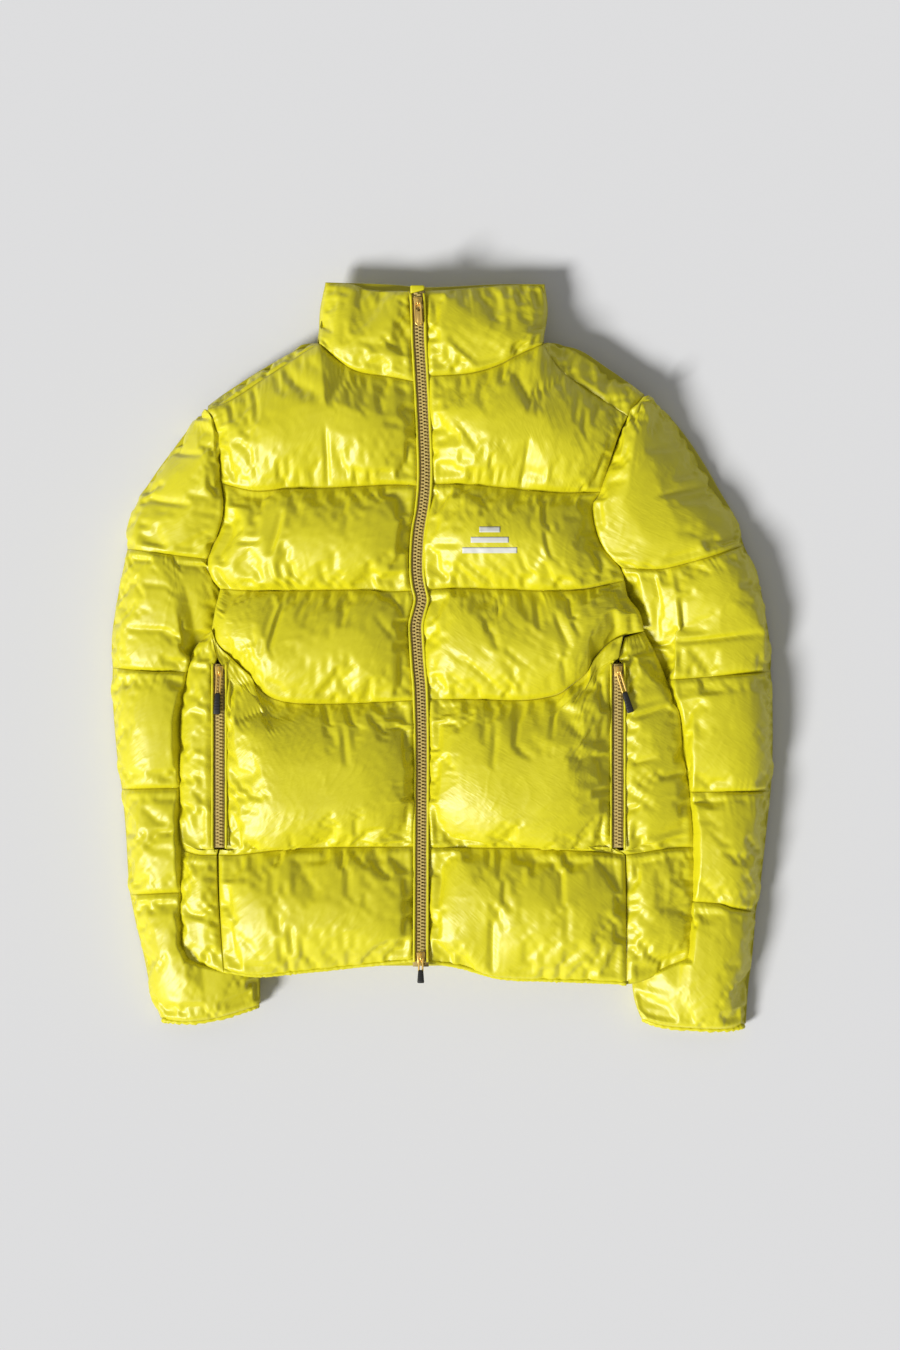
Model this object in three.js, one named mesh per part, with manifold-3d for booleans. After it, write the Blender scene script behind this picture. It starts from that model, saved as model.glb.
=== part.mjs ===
// Quilted down jacket with a stand collar, lying on its back with the sleeves folded down
// beside the body and tucked a little way under its sides.
// Millimetres. +X is the wearer's left, +Y is towards the collar, +Z is up off the ground.
// Every down-filled chamber is a closed pad, and the gap along each seam is SEAM_GAP.
import * as THREE from "three";
import { mergeVertices } from "three/addons/utils/BufferGeometryUtils.js";
import Module from "manifold-3d";

const wasm = await Module();
wasm.setup();

// ---- Driving dimensions ----

// The paper pattern's points below are drawn at this size, and graded to the body's own size.
const PATTERN_WIDTH = 552;
const PATTERN_LENGTH = 737;
const BODY_WIDTH = 552; // across the hem, side to side
const BODY_LENGTH = 737; // collar top to hem

const SEAM_GAP = 0.3; // between two sewn pieces
const BACK_THICKNESS = 28; // down-filled back, flat on the ground
const WING_THICKNESS = 8; // of the back where it passes over a sleeve
const BAG_THICKNESS = 2;
const BAG_ROOM = 4; // wing to front, which holds the pocket bag
const FRONT_SEAM_HEIGHT = 20; // of a front chamber at its seams
const FRONT_LOFT = 46; // of a front chamber at its middle
const COLLAR_LOFT = 30;
const SIDE_LOFT = 34;
const SIDE_SEAM_HEIGHT = 26;
const SHOULDER_HEIGHT = 60; // where the back yoke comes forward over the shoulder

const SLEEVE_UNDER = 9; // thickness of the under sleeve
const ARM_PASSAGE = 7; // height of the flattened arm space
const SLEEVE_LOFT = 44; // top sleeve above the arm space
const SLEEVE_TUCK = 8; // what is left of the top sleeve under the body's side
const SLEEVE_CLEARANCE = 2; // tucked sleeve to the body above it
const SLEEVE_EDGE = 24;
const CUFF_BAND = 5;

const ZIP_X = -23.5; // centre line of the front zip, on the pattern
const ZIP_CHANNEL = 17; // open width between the two fronts
const POCKET_X = { right: -237, left: 188 }; // pocket zips, on the pattern
const POCKET_CHANNEL = 14.6;
const TAPE_THICKNESS = 0.8;
const TAPE_MARGIN = 0.3; // tape to the chamber that it is sewn to
const TEETH_WIDTH = 2.6;
const TEETH_THICKNESS = 3.2;
const TEETH_SPLIT = 1.6; // open line that the slider's neck runs in
const ZIP_LIFT = 19; // tape's middle above the fronts' underside
const ZIP_TOP = 385;
const ZIP_BOTTOM = -329;
const POCKET_TOP = -9;
const POCKET_BOTTOM = -205;
const END_BAR = 3; // closed end of a pocket tape

const SLIDER_LENGTH = 11;
const SLIDER_WIDTH = 9.2;
const PLATE_THICKNESS = 1.6;
const SLIDER_CLEARANCE = 0.3;
const NECK_WIDTH = 1;
const BAIL_WIDTH = 1;
const BAIL_BAR = 1.2;
const BAIL_REACH = 8; // post to post
const PULL_THICKNESS = 1.2;
const PULL_CLEARANCE = 0.6;
const PULL_BAR = 1.4; // cross bar that swings under the bail
const MAIN_PULL = { length: 25, width: 8 };
const POCKET_PULL = { length: 27, width: 5.6 };
const HEM_PULL = { length: 17, width: 5.6 };
const GRIP_WIDTH = 7.6;
const GRIP_THICKNESS = 5;
const POCKET_GRIP = 23;
const HEM_GRIP = 14;
const GRIP_SOCKET = 4;

const TOP_SLIDER_Y = 376;
const HEM_SLIDER_Y = -322;
const POCKET_SLIDER_Y = -17;

const SLEEVE_FLOOR = SLEEVE_UNDER + ARM_PASSAGE;
const TUCK_TOP = SLEEVE_FLOOR + SLEEVE_TUCK;
const SIDE_FLOOR = TUCK_TOP + SLEEVE_CLEARANCE;
const FRONT_FLOOR = SIDE_FLOOR + WING_THICKNESS + BAG_ROOM;
const ZIP_HEIGHT = FRONT_FLOOR + ZIP_LIFT; // tape's middle, above the ground

// ---- Colours ----

const FABRIC = { color: 0xc8c820, roughness: 0.42, metalness: 0 };
const TAPE = { color: 0xa98f4c, roughness: 0.8, metalness: 0 };
const TEETH = { color: 0xb99c55, roughness: 0.4, metalness: 0.2 };
const BRASS = { color: 0xb58d35, roughness: 0.3, metalness: 1 };
const RUBBER = { color: 0x16160f, roughness: 0.6, metalness: 0 };
const LINING = { color: 0x8f9020, roughness: 0.7, metalness: 0 };
const BINDING = { color: 0xb9b81c, roughness: 0.6, metalness: 0 };

// ---- Solids ----

function closed(geometry) {
  const bare = geometry.clone();
  bare.deleteAttribute("normal");
  bare.deleteAttribute("uv");
  return mergeVertices(bare, 1e-4);
}

function manifold(geometry) {
  const merged = closed(geometry);
  return new wasm.Manifold(
    new wasm.Mesh({
      numProp: 3,
      vertProperties: merged.attributes.position.array,
      triVerts: new Uint32Array(merged.index.array),
    }),
  );
}

function geometryOf(solid) {
  const mesh = solid.getMesh();
  const geometry = new THREE.BufferGeometry();
  geometry.setAttribute("position", new THREE.BufferAttribute(mesh.vertProperties, 3));
  geometry.setIndex(new THREE.BufferAttribute(mesh.triVerts, 1));
  geometry.computeVertexNormals();
  return geometry;
}

function join(...geometries) {
  const solids = geometries.map(manifold);
  return geometryOf(solids.reduce((whole, next) => whole.add(next)));
}

function cut(geometry, ...tools) {
  const solids = tools.map(manifold);
  return geometryOf(solids.reduce((left, next) => left.subtract(next), manifold(geometry)));
}

// A box from its lowest to its highest corner.
function block(low, high) {
  const size = high.map((value, axis) => value - low[axis]);
  const centre = high.map((value, axis) => (value + low[axis]) / 2);
  return new THREE.BoxGeometry(...size).translate(...centre);
}

function slab(shape, low, high) {
  const options = { depth: high - low, bevelEnabled: false, curveSegments: 5 };
  return new THREE.ExtrudeGeometry(shape, options).translate(0, 0, low);
}

// ---- Pattern ----

const jacket = new THREE.Group();
const sleeves = { right: new THREE.Group(), left: new THREE.Group() };
jacket.add(sleeves.right, sleeves.left);

function add(name, geometry, finish, parent = jacket) {
  const mesh = new THREE.Mesh(geometry, new THREE.MeshStandardMaterial(finish));
  mesh.name = name;
  parent.add(mesh);
  return mesh;
}

const gradeX = (x) => (x * BODY_WIDTH) / PATTERN_WIDTH;
const gradeY = (y) => (y * BODY_LENGTH) / PATTERN_LENGTH;
const grade = ([x, y]) => new THREE.Vector2(gradeX(x), gradeY(y));

// A seam is a run of straight stretches, each of the same share of the parameter.
function seam(points) {
  return (share) => {
    const along = Math.min(Math.max(share, 0), 1) * (points.length - 1);
    const index = Math.min(Math.floor(along), points.length - 2);
    return points[index].clone().lerp(points[index + 1], along - index);
  };
}

const drawn = (points) => seam(points.map(grade));

// The patch that four seams enclose: start and end run from top to bottom.
function patch({ top, bottom, start, end, gap = SEAM_GAP }) {
  const corner = [top(0), top(1), bottom(0), bottom(1)];
  const raw = (u, t) => {
    const point = top(u).multiplyScalar(1 - t);
    point.addScaledVector(bottom(u), t);
    point.addScaledVector(start(t), 1 - u);
    point.addScaledVector(end(t), u);
    point.addScaledVector(corner[0], -(1 - u) * (1 - t));
    point.addScaledVector(corner[1], -u * (1 - t));
    point.addScaledVector(corner[2], -(1 - u) * t);
    point.addScaledVector(corner[3], -u * t);
    return point;
  };
  return (u, t) => {
    const across = raw(0, t).distanceTo(raw(1, t));
    const along = raw(u, 0).distanceTo(raw(u, 1));
    const insetU = Math.min(SEAM_GAP / 2 / across, 0.2);
    const insetT = Math.min(gap / 2 / along, 0.2);
    return raw(insetU + u * (1 - 2 * insetU), insetT + t * (1 - 2 * insetT));
  };
}

// A patch that runs from the wearer's left inwards is mirrored, so its faces are turned back.
function outward(geometry) {
  const place = geometry.attributes.position;
  const index = geometry.index.array;
  const corner = [0, 1, 2].map(() => new THREE.Vector3());
  let volume = 0;
  for (let i = 0; i < index.length; i += 3) {
    corner.forEach((point, k) => point.fromBufferAttribute(place, index[i + k]));
    volume += corner[0].dot(corner[1].clone().cross(corner[2]));
  }
  if (volume < 0) index.reverse();
  geometry.computeVertexNormals();
  return geometry;
}

// A pad fills a patch. Each column gives its share across, its underside and its height at the
// middle of the pad. Along the pad the height swells from seamTop at its two seams.
function pad(area, columns, seamTop, rows = 4) {
  const last = columns.length - 1;
  const geometry = closed(new THREE.BoxGeometry(1, 1, 1, last, rows, 1));
  const place = geometry.attributes.position;
  for (let i = 0; i < place.count; i++) {
    const [share, low, high] = columns[Math.round((place.getX(i) + 0.5) * last)];
    const t = 0.5 - place.getY(i);
    const point = area(share, t);
    const swell = Math.sqrt(Math.max(0, 4 * t * (1 - t)));
    const top = Math.min(seamTop, high) + Math.max(0, high - seamTop) * swell;
    place.setXYZ(i, point.x, point.y, place.getZ(i) < 0 ? low : top);
  }
  return outward(geometry);
}

const CROWN = [0.35, 0.85, 0.97, 1, 0.97, 0.85, 0.35];

function crowned(floor, seamHeight, loft) {
  return CROWN.map((share, i) => [
    i / (CROWN.length - 1),
    floor,
    floor + seamHeight + (loft - seamHeight) * share,
  ]);
}

// ---- Body: five rows of chambers on each front, and five across the back ----

const EDGE_Y = { neck: 296, chest: 181, rib: 69, waist: -48, pocket: -204.5, hem: -327 };

function zipEdge(side, y) {
  const sign = side === "right" ? -1 : 1;
  return new THREE.Vector2(gradeX(ZIP_X) + (sign * ZIP_CHANNEL) / 2, gradeY(y));
}

function pocketEdge(side, sign, y) {
  const outward = side === "right" ? -1 : 1;
  const half = (outward * sign * POCKET_CHANNEL) / 2;
  return new THREE.Vector2(gradeX(POCKET_X[side]) + half, gradeY(y));
}

// Each seam runs from the body's side in to the zip.
const BODY = {
  right: {
    outline: [[-250, 266], [-221, 291], [-184, 314], [-134, 334]],
    shoulder: [[-248, 263], [-224, 274], [-186, 299], [-146, 325]],
    neck: [[-103, 310], [-77, 300]],
    armhole: [[-248, 262], [-235, 184], [-250, 103], [-237, 70]],
    chest: [[-235, 184], [-180, 175], [-112, 179]],
    rib: [[-237, 70], [-190, 69], [-87, 70]],
    bib: [[-246, 28], [-224, -3], [-200, -33], [-162, -50], [-119, -52], [-74, -50]],
    pocketSeam: [[-176, -208], [-103, -205]],
    hem: [[-196, -343], [-149, -339], [-96, -333], [-66, -329], [-44, -327]],
    hemCorner: -338,
    side: [[-252, 19], [-276, -33], [-282, -103], [-282, -180], [-279, -210]],
    hemSide: [[-279, -210], [-281, -253], [-281, -285], [-279, -310], [-273, -326]],
    collarTop: [[-125, 401], [-98, 399], [-77, 391]],
    collarFoot: [-128, 333],
    collarEdge: 389,
  },
  left: {
    outline: [[217, 279], [186, 304], [150, 328], [110, 334]],
    shoulder: [[197, 255], [176, 271], [152, 287], [127, 304]],
    neck: [[84, 322], [52, 307]],
    armhole: [[217, 276], [167, 173], [192, 96], [198, 70]],
    chest: [[167, 173], [129, 174], [35, 182]],
    rib: [[198, 70], [155, 71], [48, 71]],
    bib: [[196, 20], [171, 6], [150, -22], [120, -42], [76, -48], [30, -48]],
    pocketSeam: [[127, -208], [63, -206]],
    hem: [[148, -350], [114, -348], [73, -346], [36, -338], [4, -330]],
    hemCorner: -351,
    side: [[217, 26], [242, -28], [261, -105], [269, -176], [270, -208]],
    hemSide: [[270, -208], [271, -240], [271, -275], [269, -305], [265, -332]],
    collarTop: [[111, 399], [79, 398], [41, 393]],
    collarFoot: [106, 333],
    collarEdge: 390,
  },
};

const POCKET_SHOULDER = -5; // where the pocket opening starts below the bib

function front(side) {
  const cloth = BODY[side];
  const points = (list) => list.map(grade);
  const edge = (y) => zipEdge(side, y);
  const straight = (from, to) => seam([edge(from), edge(to)]);
  const inner = (y) => pocketEdge(side, -1, y);
  const outer = (y) => pocketEdge(side, 1, y);
  const shoulderTip = side === "right" ? grade([-247, 260]) : grade([196, 254]);
  const yokeSide = [shoulderTip, grade(cloth.armhole[1])];
  const top = [shoulderTip, ...points(cloth.shoulder.slice(1)), ...points(cloth.neck), edge(EDGE_Y.neck)];
  const chest = seam([...points(cloth.chest), edge(EDGE_Y.chest)]);
  const rib = seam([...points(cloth.rib), edge(EDGE_Y.rib)]);
  const bib = seam([...points(cloth.bib), edge(EDGE_Y.waist)]);
  const pocketRow = seam([inner(POCKET_BOTTOM), ...points(cloth.pocketSeam), edge(EDGE_Y.pocket)]);
  const hem = seam([inner(cloth.hemCorner), ...points(cloth.hem), edge(EDGE_Y.hem)]);
  const pocketLine = [POCKET_SHOULDER, -72, -139, POCKET_BOTTOM];
  const columns = crowned(FRONT_FLOOR, FRONT_SEAM_HEIGHT, FRONT_LOFT);
  const seamTop = FRONT_FLOOR + FRONT_SEAM_HEIGHT;
  const rows = [
    ["yoke", seam(top), chest, seam(yokeSide), straight(EDGE_Y.neck, EDGE_Y.chest)],
    ["chest", chest, rib, seam(points(cloth.armhole.slice(1))), straight(EDGE_Y.chest, EDGE_Y.rib)],
    [
      "midriff",
      rib,
      bib,
      seam([grade(cloth.armhole[3]), grade(cloth.bib[0])]),
      straight(EDGE_Y.rib, EDGE_Y.waist),
    ],
    [
      "waist",
      bib,
      pocketRow,
      seam([grade(cloth.bib[0]), ...pocketLine.map(inner)]),
      straight(EDGE_Y.waist, EDGE_Y.pocket),
    ],
    [
      "hem",
      pocketRow,
      hem,
      seam([inner(POCKET_BOTTOM), inner(cloth.hemCorner)]),
      straight(EDGE_Y.pocket, EDGE_Y.hem),
    ],
  ];
  for (const [name, above, below, start, end] of rows) {
    // The bib seam rises steeply, so the chambers beside it stand off further along it.
    const gap = above === bib || below === bib ? 3 * SEAM_GAP : SEAM_GAP;
    const area = patch({ top: above, bottom: below, start, end, gap });
    add(`front_${side}_${name}`, pad(area, columns, seamTop), FABRIC);
  }

  const sideTop = SIDE_FLOOR + SIDE_SEAM_HEIGHT;
  const sideColumns = [0.1, 0.8, 1, 0.7, 0.1].map((share, i) => [
    i / 4,
    SIDE_FLOOR,
    sideTop + (SIDE_LOFT - SIDE_SEAM_HEIGHT) * share,
  ]);
  const innerTop = grade(cloth.bib[0]).add(new THREE.Vector2(0, -2 * SEAM_GAP));
  const upperInner = seam([innerTop, ...pocketLine.map(outer)]);
  const sideSeam = seam([grade(cloth.hemSide[0]), outer(POCKET_BOTTOM)]);
  const upper = patch({
    top: seam([grade(cloth.side[0]), innerTop]),
    bottom: sideSeam,
    start: drawn(cloth.side),
    end: upperInner,
  });
  const lower = patch({
    top: sideSeam,
    bottom: seam([grade(cloth.hemSide[4]), outer(cloth.hemCorner)]),
    start: drawn(cloth.hemSide),
    end: seam([outer(POCKET_BOTTOM), outer(cloth.hemCorner)]),
  });
  add(`side_${side}_upper`, pad(upper, sideColumns, sideTop), FABRIC);
  add(`side_${side}_hem`, pad(lower, sideColumns, sideTop), FABRIC);
}

front("right");
front("left");

// The back lies on the ground between the tucked sleeves. On the wearer's right it has a wing
// that passes over the sleeve to the side panel.
const BACK_LEVELS = { chest: 176, rib: 70, waist: -48, pocket: -206, hem: -334 };
const BACK_SIDE = {
  right: { chest: -232, rib: -235, waist: -243, pocket: -243, hem: -243 },
  left: { chest: 163, rib: 192, waist: 193, pocket: 193, hem: 193 },
};
const WING_EDGE = 10; // under the wing, room for the sleeve's inner edge
const SLEEVE_INNER = -182; // the ground part of the back starts inside this line

function backRow(name, from, to, winged) {
  const corner = (side, level) => grade([BACK_SIDE[side][level], BACK_LEVELS[level]]);
  const area = patch({
    top: seam([corner("right", from), corner("left", from)]),
    bottom: seam([corner("right", to), corner("left", to)]),
    start: seam([corner("right", from), corner("right", to)]),
    end: seam([corner("left", from), corner("left", to)]),
  });
  const width = corner("left", to).x - corner("right", to).x;
  const wing = (gradeX(SLEEVE_INNER) - corner("right", to).x) / width;
  const outer = winged
    ? [
        [0, SIDE_FLOOR, SIDE_FLOOR + WING_THICKNESS],
        [wing - WING_EDGE / width, SIDE_FLOOR, SIDE_FLOOR + WING_THICKNESS],
        [wing, 0, BACK_THICKNESS],
      ]
    : [[0, 0, BACK_THICKNESS]];
  const inner = [0.35, 0.5, 0.75, 1].map((share) => [share, 0, BACK_THICKNESS]);
  add(`back_${name}`, pad(area, [...outer, ...inner], BACK_THICKNESS, 2), FABRIC);
}

backRow("chest", "chest", "rib", false);
backRow("midriff", "rib", "waist", true);
backRow("waist", "waist", "pocket", true);
backRow("hem", "pocket", "hem", true);

// The back yoke comes forward over both shoulders, to the seam on the front of the body.
function shoulderRidge(side) {
  const cloth = BODY[side];
  const outline = side === "right" ? cloth.outline : [...cloth.outline].reverse();
  const line = side === "right" ? cloth.shoulder : [...cloth.shoulder].reverse();
  const area = patch({
    top: drawn(outline),
    bottom: drawn(line),
    start: drawn([outline[0], line[0]]),
    end: drawn([outline[3], line[3]]),
  });
  const columns = [0, 1, 2, 3, 4, 5, 6].map((i) => [i / 6, 2, SHOULDER_HEIGHT]);
  return pad(area, columns, SHOULDER_HEIGHT - 6, 2);
}

const backNeck = [-12, 322];
const yokeTop = [
  BODY.right.outline[0],
  BODY.right.outline[2],
  BODY.right.outline[3],
  backNeck,
  BODY.left.outline[3],
  BODY.left.outline[2],
  BODY.left.outline[0],
];
const yokeFoot = {
  right: [BACK_SIDE.right.chest, BACK_LEVELS.chest],
  left: [BACK_SIDE.left.chest, BACK_LEVELS.chest],
};
const backYoke = patch({
  top: drawn(yokeTop),
  bottom: drawn([yokeFoot.right, yokeFoot.left]),
  start: drawn([yokeTop[0], yokeFoot.right]),
  end: drawn([yokeTop[6], yokeFoot.left]),
});
const yokeColumns = [0, 1, 2, 3, 4, 5, 6].map((i) => [i / 6, 0, BACK_THICKNESS]);
const yokeSlab = pad(backYoke, yokeColumns, BACK_THICKNESS, 4);
add("back_yoke", join(yokeSlab, shoulderRidge("right"), shoulderRidge("left")), FABRIC);

// ---- Collar: two fronts and a back, flattened round the neck opening ----

function collarFront(side) {
  const cloth = BODY[side];
  const foot = [cloth.outline[3], ...cloth.neck].map(grade);
  const area = patch({
    top: seam([...cloth.collarTop.map(grade), zipEdge(side, cloth.collarEdge)]),
    bottom: seam([...foot, zipEdge(side, EDGE_Y.neck)]),
    start: seam([grade(cloth.collarTop[0]), foot[0]]),
    end: seam([zipEdge(side, cloth.collarEdge), zipEdge(side, EDGE_Y.neck)]),
  });
  const columns = crowned(FRONT_FLOOR, FRONT_SEAM_HEIGHT, COLLAR_LOFT);
  add(`collar_${side}`, pad(area, columns, FRONT_FLOOR + FRONT_SEAM_HEIGHT), FABRIC);
}

collarFront("right");
collarFront("left");

const collarBack = patch({
  top: drawn([BODY.right.collarTop[0], [-12, 396], BODY.left.collarTop[0]]),
  bottom: drawn([BODY.right.outline[3], backNeck, BODY.left.outline[3]]),
  start: drawn([BODY.right.collarTop[0], BODY.right.outline[3]]),
  end: drawn([BODY.left.collarTop[0], BODY.left.outline[3]]),
});
const collarColumns = [0, 1, 2, 3, 4].map((i) => [i / 4, 2, BACK_THICKNESS]);
add("collar_back", pad(collarBack, collarColumns, BACK_THICKNESS, 2), FABRIC);

// ---- Sleeves: five chambers each, an under sleeve, and a bound cuff ----

// Outer and inner lines give five points for each chamber, and the chambers share their ends.
// cover is the share of the width at each chamber's end that isn't under the body's side.
const SLEEVE = {
  right: {
    outer: [
      [[-270, 249], [-292, 221], [-310, 195], [-329, 164], [-340, 115]],
      [[-340, 115], [-349, 72], [-354, 45], [-357, 17], [-357, -13]],
      [[-357, -13], [-355, -48], [-352, -80], [-349, -112], [-347, -143]],
      [[-347, -143], [-344, -170], [-341, -200], [-339, -230], [-338, -258]],
      [[-338, -258], [-331, -288], [-323, -324], [-314, -358], [-304, -388]],
    ],
    inner: [
      [[-249, 262], [-242, 223], [-235, 184], [-243, 143], [-250, 103]],
      [[-250, 103], [-237, 70], [-226, 43], [-218, 11], [-209, -30]],
      [[-209, -30], [-207, -58], [-205, -88], [-204, -117], [-203, -144]],
      [[-203, -144], [-202, -172], [-201, -200], [-200, -228], [-200, -254]],
      [[-200, -254], [-198, -285], [-197, -314], [-196, -344], [-195, -373]],
    ],
    cover: [0.92, 0.86, 0.53, 0.4, 0.34, 0.34],
  },
  left: {
    outer: [
      [[241, 262], [264, 234], [285, 206], [304, 170], [327, 119]],
      [[327, 119], [338, 86], [348, 52], [354, 12], [356, -17]],
      [[356, -17], [357, -48], [357, -80], [357, -112], [356, -146]],
      [[356, -146], [353, -180], [350, -210], [346, -245], [342, -276]],
      [[342, -276], [339, -305], [335, -335], [332, -366], [329, -396]],
    ],
    inner: [
      [[218, 276], [192, 224], [167, 173], [180, 134], [192, 96]],
      [[192, 96], [198, 70], [203, 35], [205, 2], [206, -28]],
      [[206, -28], [207, -57], [208, -86], [208, -115], [209, -144]],
      [[209, -144], [210, -172], [211, -200], [212, -228], [212, -256]],
      [[212, -256], [213, -290], [214, -323], [214, -356], [215, -389]],
    ],
    cover: [0.92, 0.9, 0.44, 0.34, 0.34, 0.34],
  },
};

// The armhole's side of the first chamber stands off the body by this much.
const ARMHOLE_EASE = 0.5;

function sleeveColumns(cover, tucked) {
  const floor = SLEEVE_FLOOR;
  const full = floor + SLEEVE_LOFT;
  const edge = SLEEVE_EDGE + floor * 0.5;
  const heights = tucked
    ? [edge, full - 3, full - 5, TUCK_TOP, TUCK_TOP, TUCK_TOP, TUCK_TOP - 3]
    : [edge, full - 3, full, full, full - 2, full - 4, full - 8];
  const seat = SLEEVE_UNDER + SEAM_GAP;
  // The shoulder chamber's underside rises to the armhole, which opens into the body.
  const floors = tucked
    ? [seat, floor, floor, floor, floor, floor, seat]
    : [seat, floor, floor, floor, floor, BACK_THICKNESS - 2, FRONT_FLOOR - 2];
  return heights.map((height, i) => {
    const half = i / 3;
    const share = i <= 3 ? half * cover : cover + (half - 1) * (1 - cover);
    return [share, floors[i], height];
  });
}

function sleeve(side) {
  const lines = SLEEVE[side];
  const parent = sleeves[side];
  const ease = new THREE.Vector2(side === "right" ? -ARMHOLE_EASE : ARMHOLE_EASE, 0);
  const inner = lines.inner.map((list) => list.map((point) => grade(point).add(ease)));
  const outer = lines.outer.map((list) => list.map(grade));
  const names = ["shoulder", "upper", "elbow", "lower", "wrist"];
  names.forEach((name, i) => {
    const area = patch({
      top: seam([outer[i][0], inner[i][0]]),
      bottom: seam([outer[i][4], inner[i][4]]),
      start: seam(outer[i]),
      end: seam(inner[i]),
    });
    const tucked = i > 0;
    const from = tucked ? lines.cover[i] : 0.5;
    const to = tucked ? lines.cover[i + 1] : 0.5;
    const columns = sleeveColumns(0.5, tucked);
    // The step down under the body follows the cover share from one end to the other.
    const stepped = (u, t) => {
      const cover = from + (to - from) * t;
      const share = u <= 0.5 ? u * 2 * cover : cover + (u - 0.5) * 2 * (1 - cover);
      return area(share, t);
    };
    const seamTop = tucked ? SLEEVE_FLOOR + SLEEVE_LOFT * 0.6 : SLEEVE_FLOOR + SLEEVE_LOFT * 0.75;
    add(`sleeve_${side}_${name}`, pad(stepped, columns, seamTop), FABRIC, parent);
  });

  const chain = (lists) => seam(lists.flatMap((list, i) => (i ? list.slice(1) : list)));
  const whole = patch({
    top: seam([outer[0][0], inner[0][0]]),
    bottom: seam([outer[4][4], inner[4][4]]),
    start: chain(outer),
    end: chain(inner),
  });
  const flat = [0, 0.5, 1].map((share) => [share, 0, SLEEVE_UNDER]);
  add(`sleeve_${side}_under`, pad(whole, flat, SLEEVE_UNDER, 20), FABRIC, parent);

  // The elastic binding at the cuff's mouth.
  const mouth = [outer[4][4], inner[4][4]];
  const down = (point) => point.clone().add(new THREE.Vector2(0, -CUFF_BAND));
  const band = patch({
    top: seam(mouth),
    bottom: seam(mouth.map(down)),
    start: seam([mouth[0], down(mouth[0])]),
    end: seam([mouth[1], down(mouth[1])]),
  });
  const longer = (u, t) => band(u, t * 3 - 1);
  const ring = pad(band, [[0.04, 1, TUCK_TOP], [0.96, 1, TUCK_TOP]], TUCK_TOP, 1);
  const bore = pad(longer, [[0.14, 7, 19], [0.86, 7, 19]], 19, 1);
  add(`cuff_${side}_binding`, cut(ring, bore), BINDING, parent);
}

sleeve("right");
sleeve("left");

// ---- Zips ----

const SLOT = TEETH_SPLIT / 2 + TEETH_WIDTH + SLIDER_CLEARANCE;
const tapeLow = ZIP_HEIGHT - TAPE_THICKNESS / 2;
const tapeHigh = ZIP_HEIGHT + TAPE_THICKNESS / 2;

// One side's row of teeth, as a bead with bevelled edges.
function teeth(sign, top, bottom) {
  const bevel = 0.6;
  const shape = new THREE.Shape();
  const near = (sign * TEETH_SPLIT) / 2;
  const far = near + sign * TEETH_WIDTH;
  const half = TEETH_THICKNESS / 2;
  shape.moveTo(near, -half + bevel);
  shape.lineTo(near + sign * bevel, -half);
  shape.lineTo(far, -half);
  shape.lineTo(far, half);
  shape.lineTo(near + sign * bevel, half);
  shape.lineTo(near, half - bevel);
  const bead = new THREE.ExtrudeGeometry(shape, { depth: top - bottom, bevelEnabled: false });
  return bead.rotateX(Math.PI / 2).translate(0, top, ZIP_HEIGHT);
}

function slider() {
  const half = TEETH_THICKNESS / 2 + SLIDER_CLEARANCE;
  const plate = new THREE.Shape();
  const wide = SLIDER_WIDTH / 2;
  const long = SLIDER_LENGTH / 2;
  plate.moveTo(-wide, long - 2.5);
  plate.lineTo(-wide * 0.6, long);
  plate.lineTo(wide * 0.6, long);
  plate.lineTo(wide, long - 2.5);
  plate.lineTo(wide * 0.62, -long);
  plate.lineTo(-wide * 0.62, -long);
  const top = ZIP_HEIGHT + half;
  const bottom = ZIP_HEIGHT - half;
  const bailLow = top + PLATE_THICKNESS + PULL_THICKNESS + 2 * PULL_CLEARANCE;
  const reach = BAIL_REACH / 2;
  const side = BAIL_WIDTH / 2;
  return join(
    slab(plate, top, top + PLATE_THICKNESS),
    slab(plate, bottom - PLATE_THICKNESS, bottom),
    block([-NECK_WIDTH / 2, 1.5, bottom - 0.5], [NECK_WIDTH / 2, 4.5, top + 0.5]),
    block([-side, -reach - BAIL_BAR, bailLow], [side, reach + BAIL_BAR, bailLow + BAIL_BAR]),
    block([-side, -reach - BAIL_BAR, top + 0.5], [side, -reach, bailLow + 0.5]),
    block([-side, reach, top + 0.5], [side, reach + BAIL_BAR, bailLow + 0.5]),
  );
}

const SLIDER_TOP = ZIP_HEIGHT + TEETH_THICKNESS / 2 + SLIDER_CLEARANCE + PLATE_THICKNESS;
const PULL_AXIS = SLIDER_TOP + PULL_CLEARANCE + PULL_THICKNESS / 2;

// A pull hangs down from the bail's middle. The window by its cross bar passes over the bail.
function pull({ length, width }, solidPlate) {
  const half = width / 2;
  const start = PULL_BAR / 2;
  const window = BAIL_REACH / 2 + BAIL_BAR + 0.8;
  const shape = new THREE.Shape();
  shape.moveTo(-half, start);
  shape.lineTo(-half, -length + half);
  shape.absarc(0, -length + half, half, Math.PI, 2 * Math.PI, false);
  shape.lineTo(half, start);
  const gap = new THREE.Path();
  const side = BAIL_WIDTH / 2 + PULL_CLEARANCE;
  const low = solidPlate ? -window : -length + half * 0.8;
  gap.moveTo(-side, -start);
  gap.lineTo(side, -start);
  gap.lineTo(side, low);
  gap.lineTo(-side, low);
  shape.holes.push(gap);
  if (solidPlate) {
    const eye = new THREE.Path();
    eye.absarc(0, -length + half, half * 0.4, 0, 2 * Math.PI, true);
    shape.holes.push(eye);
  }
  return slab(shape, PULL_AXIS - PULL_THICKNESS / 2, PULL_AXIS + PULL_THICKNESS / 2);
}

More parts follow.
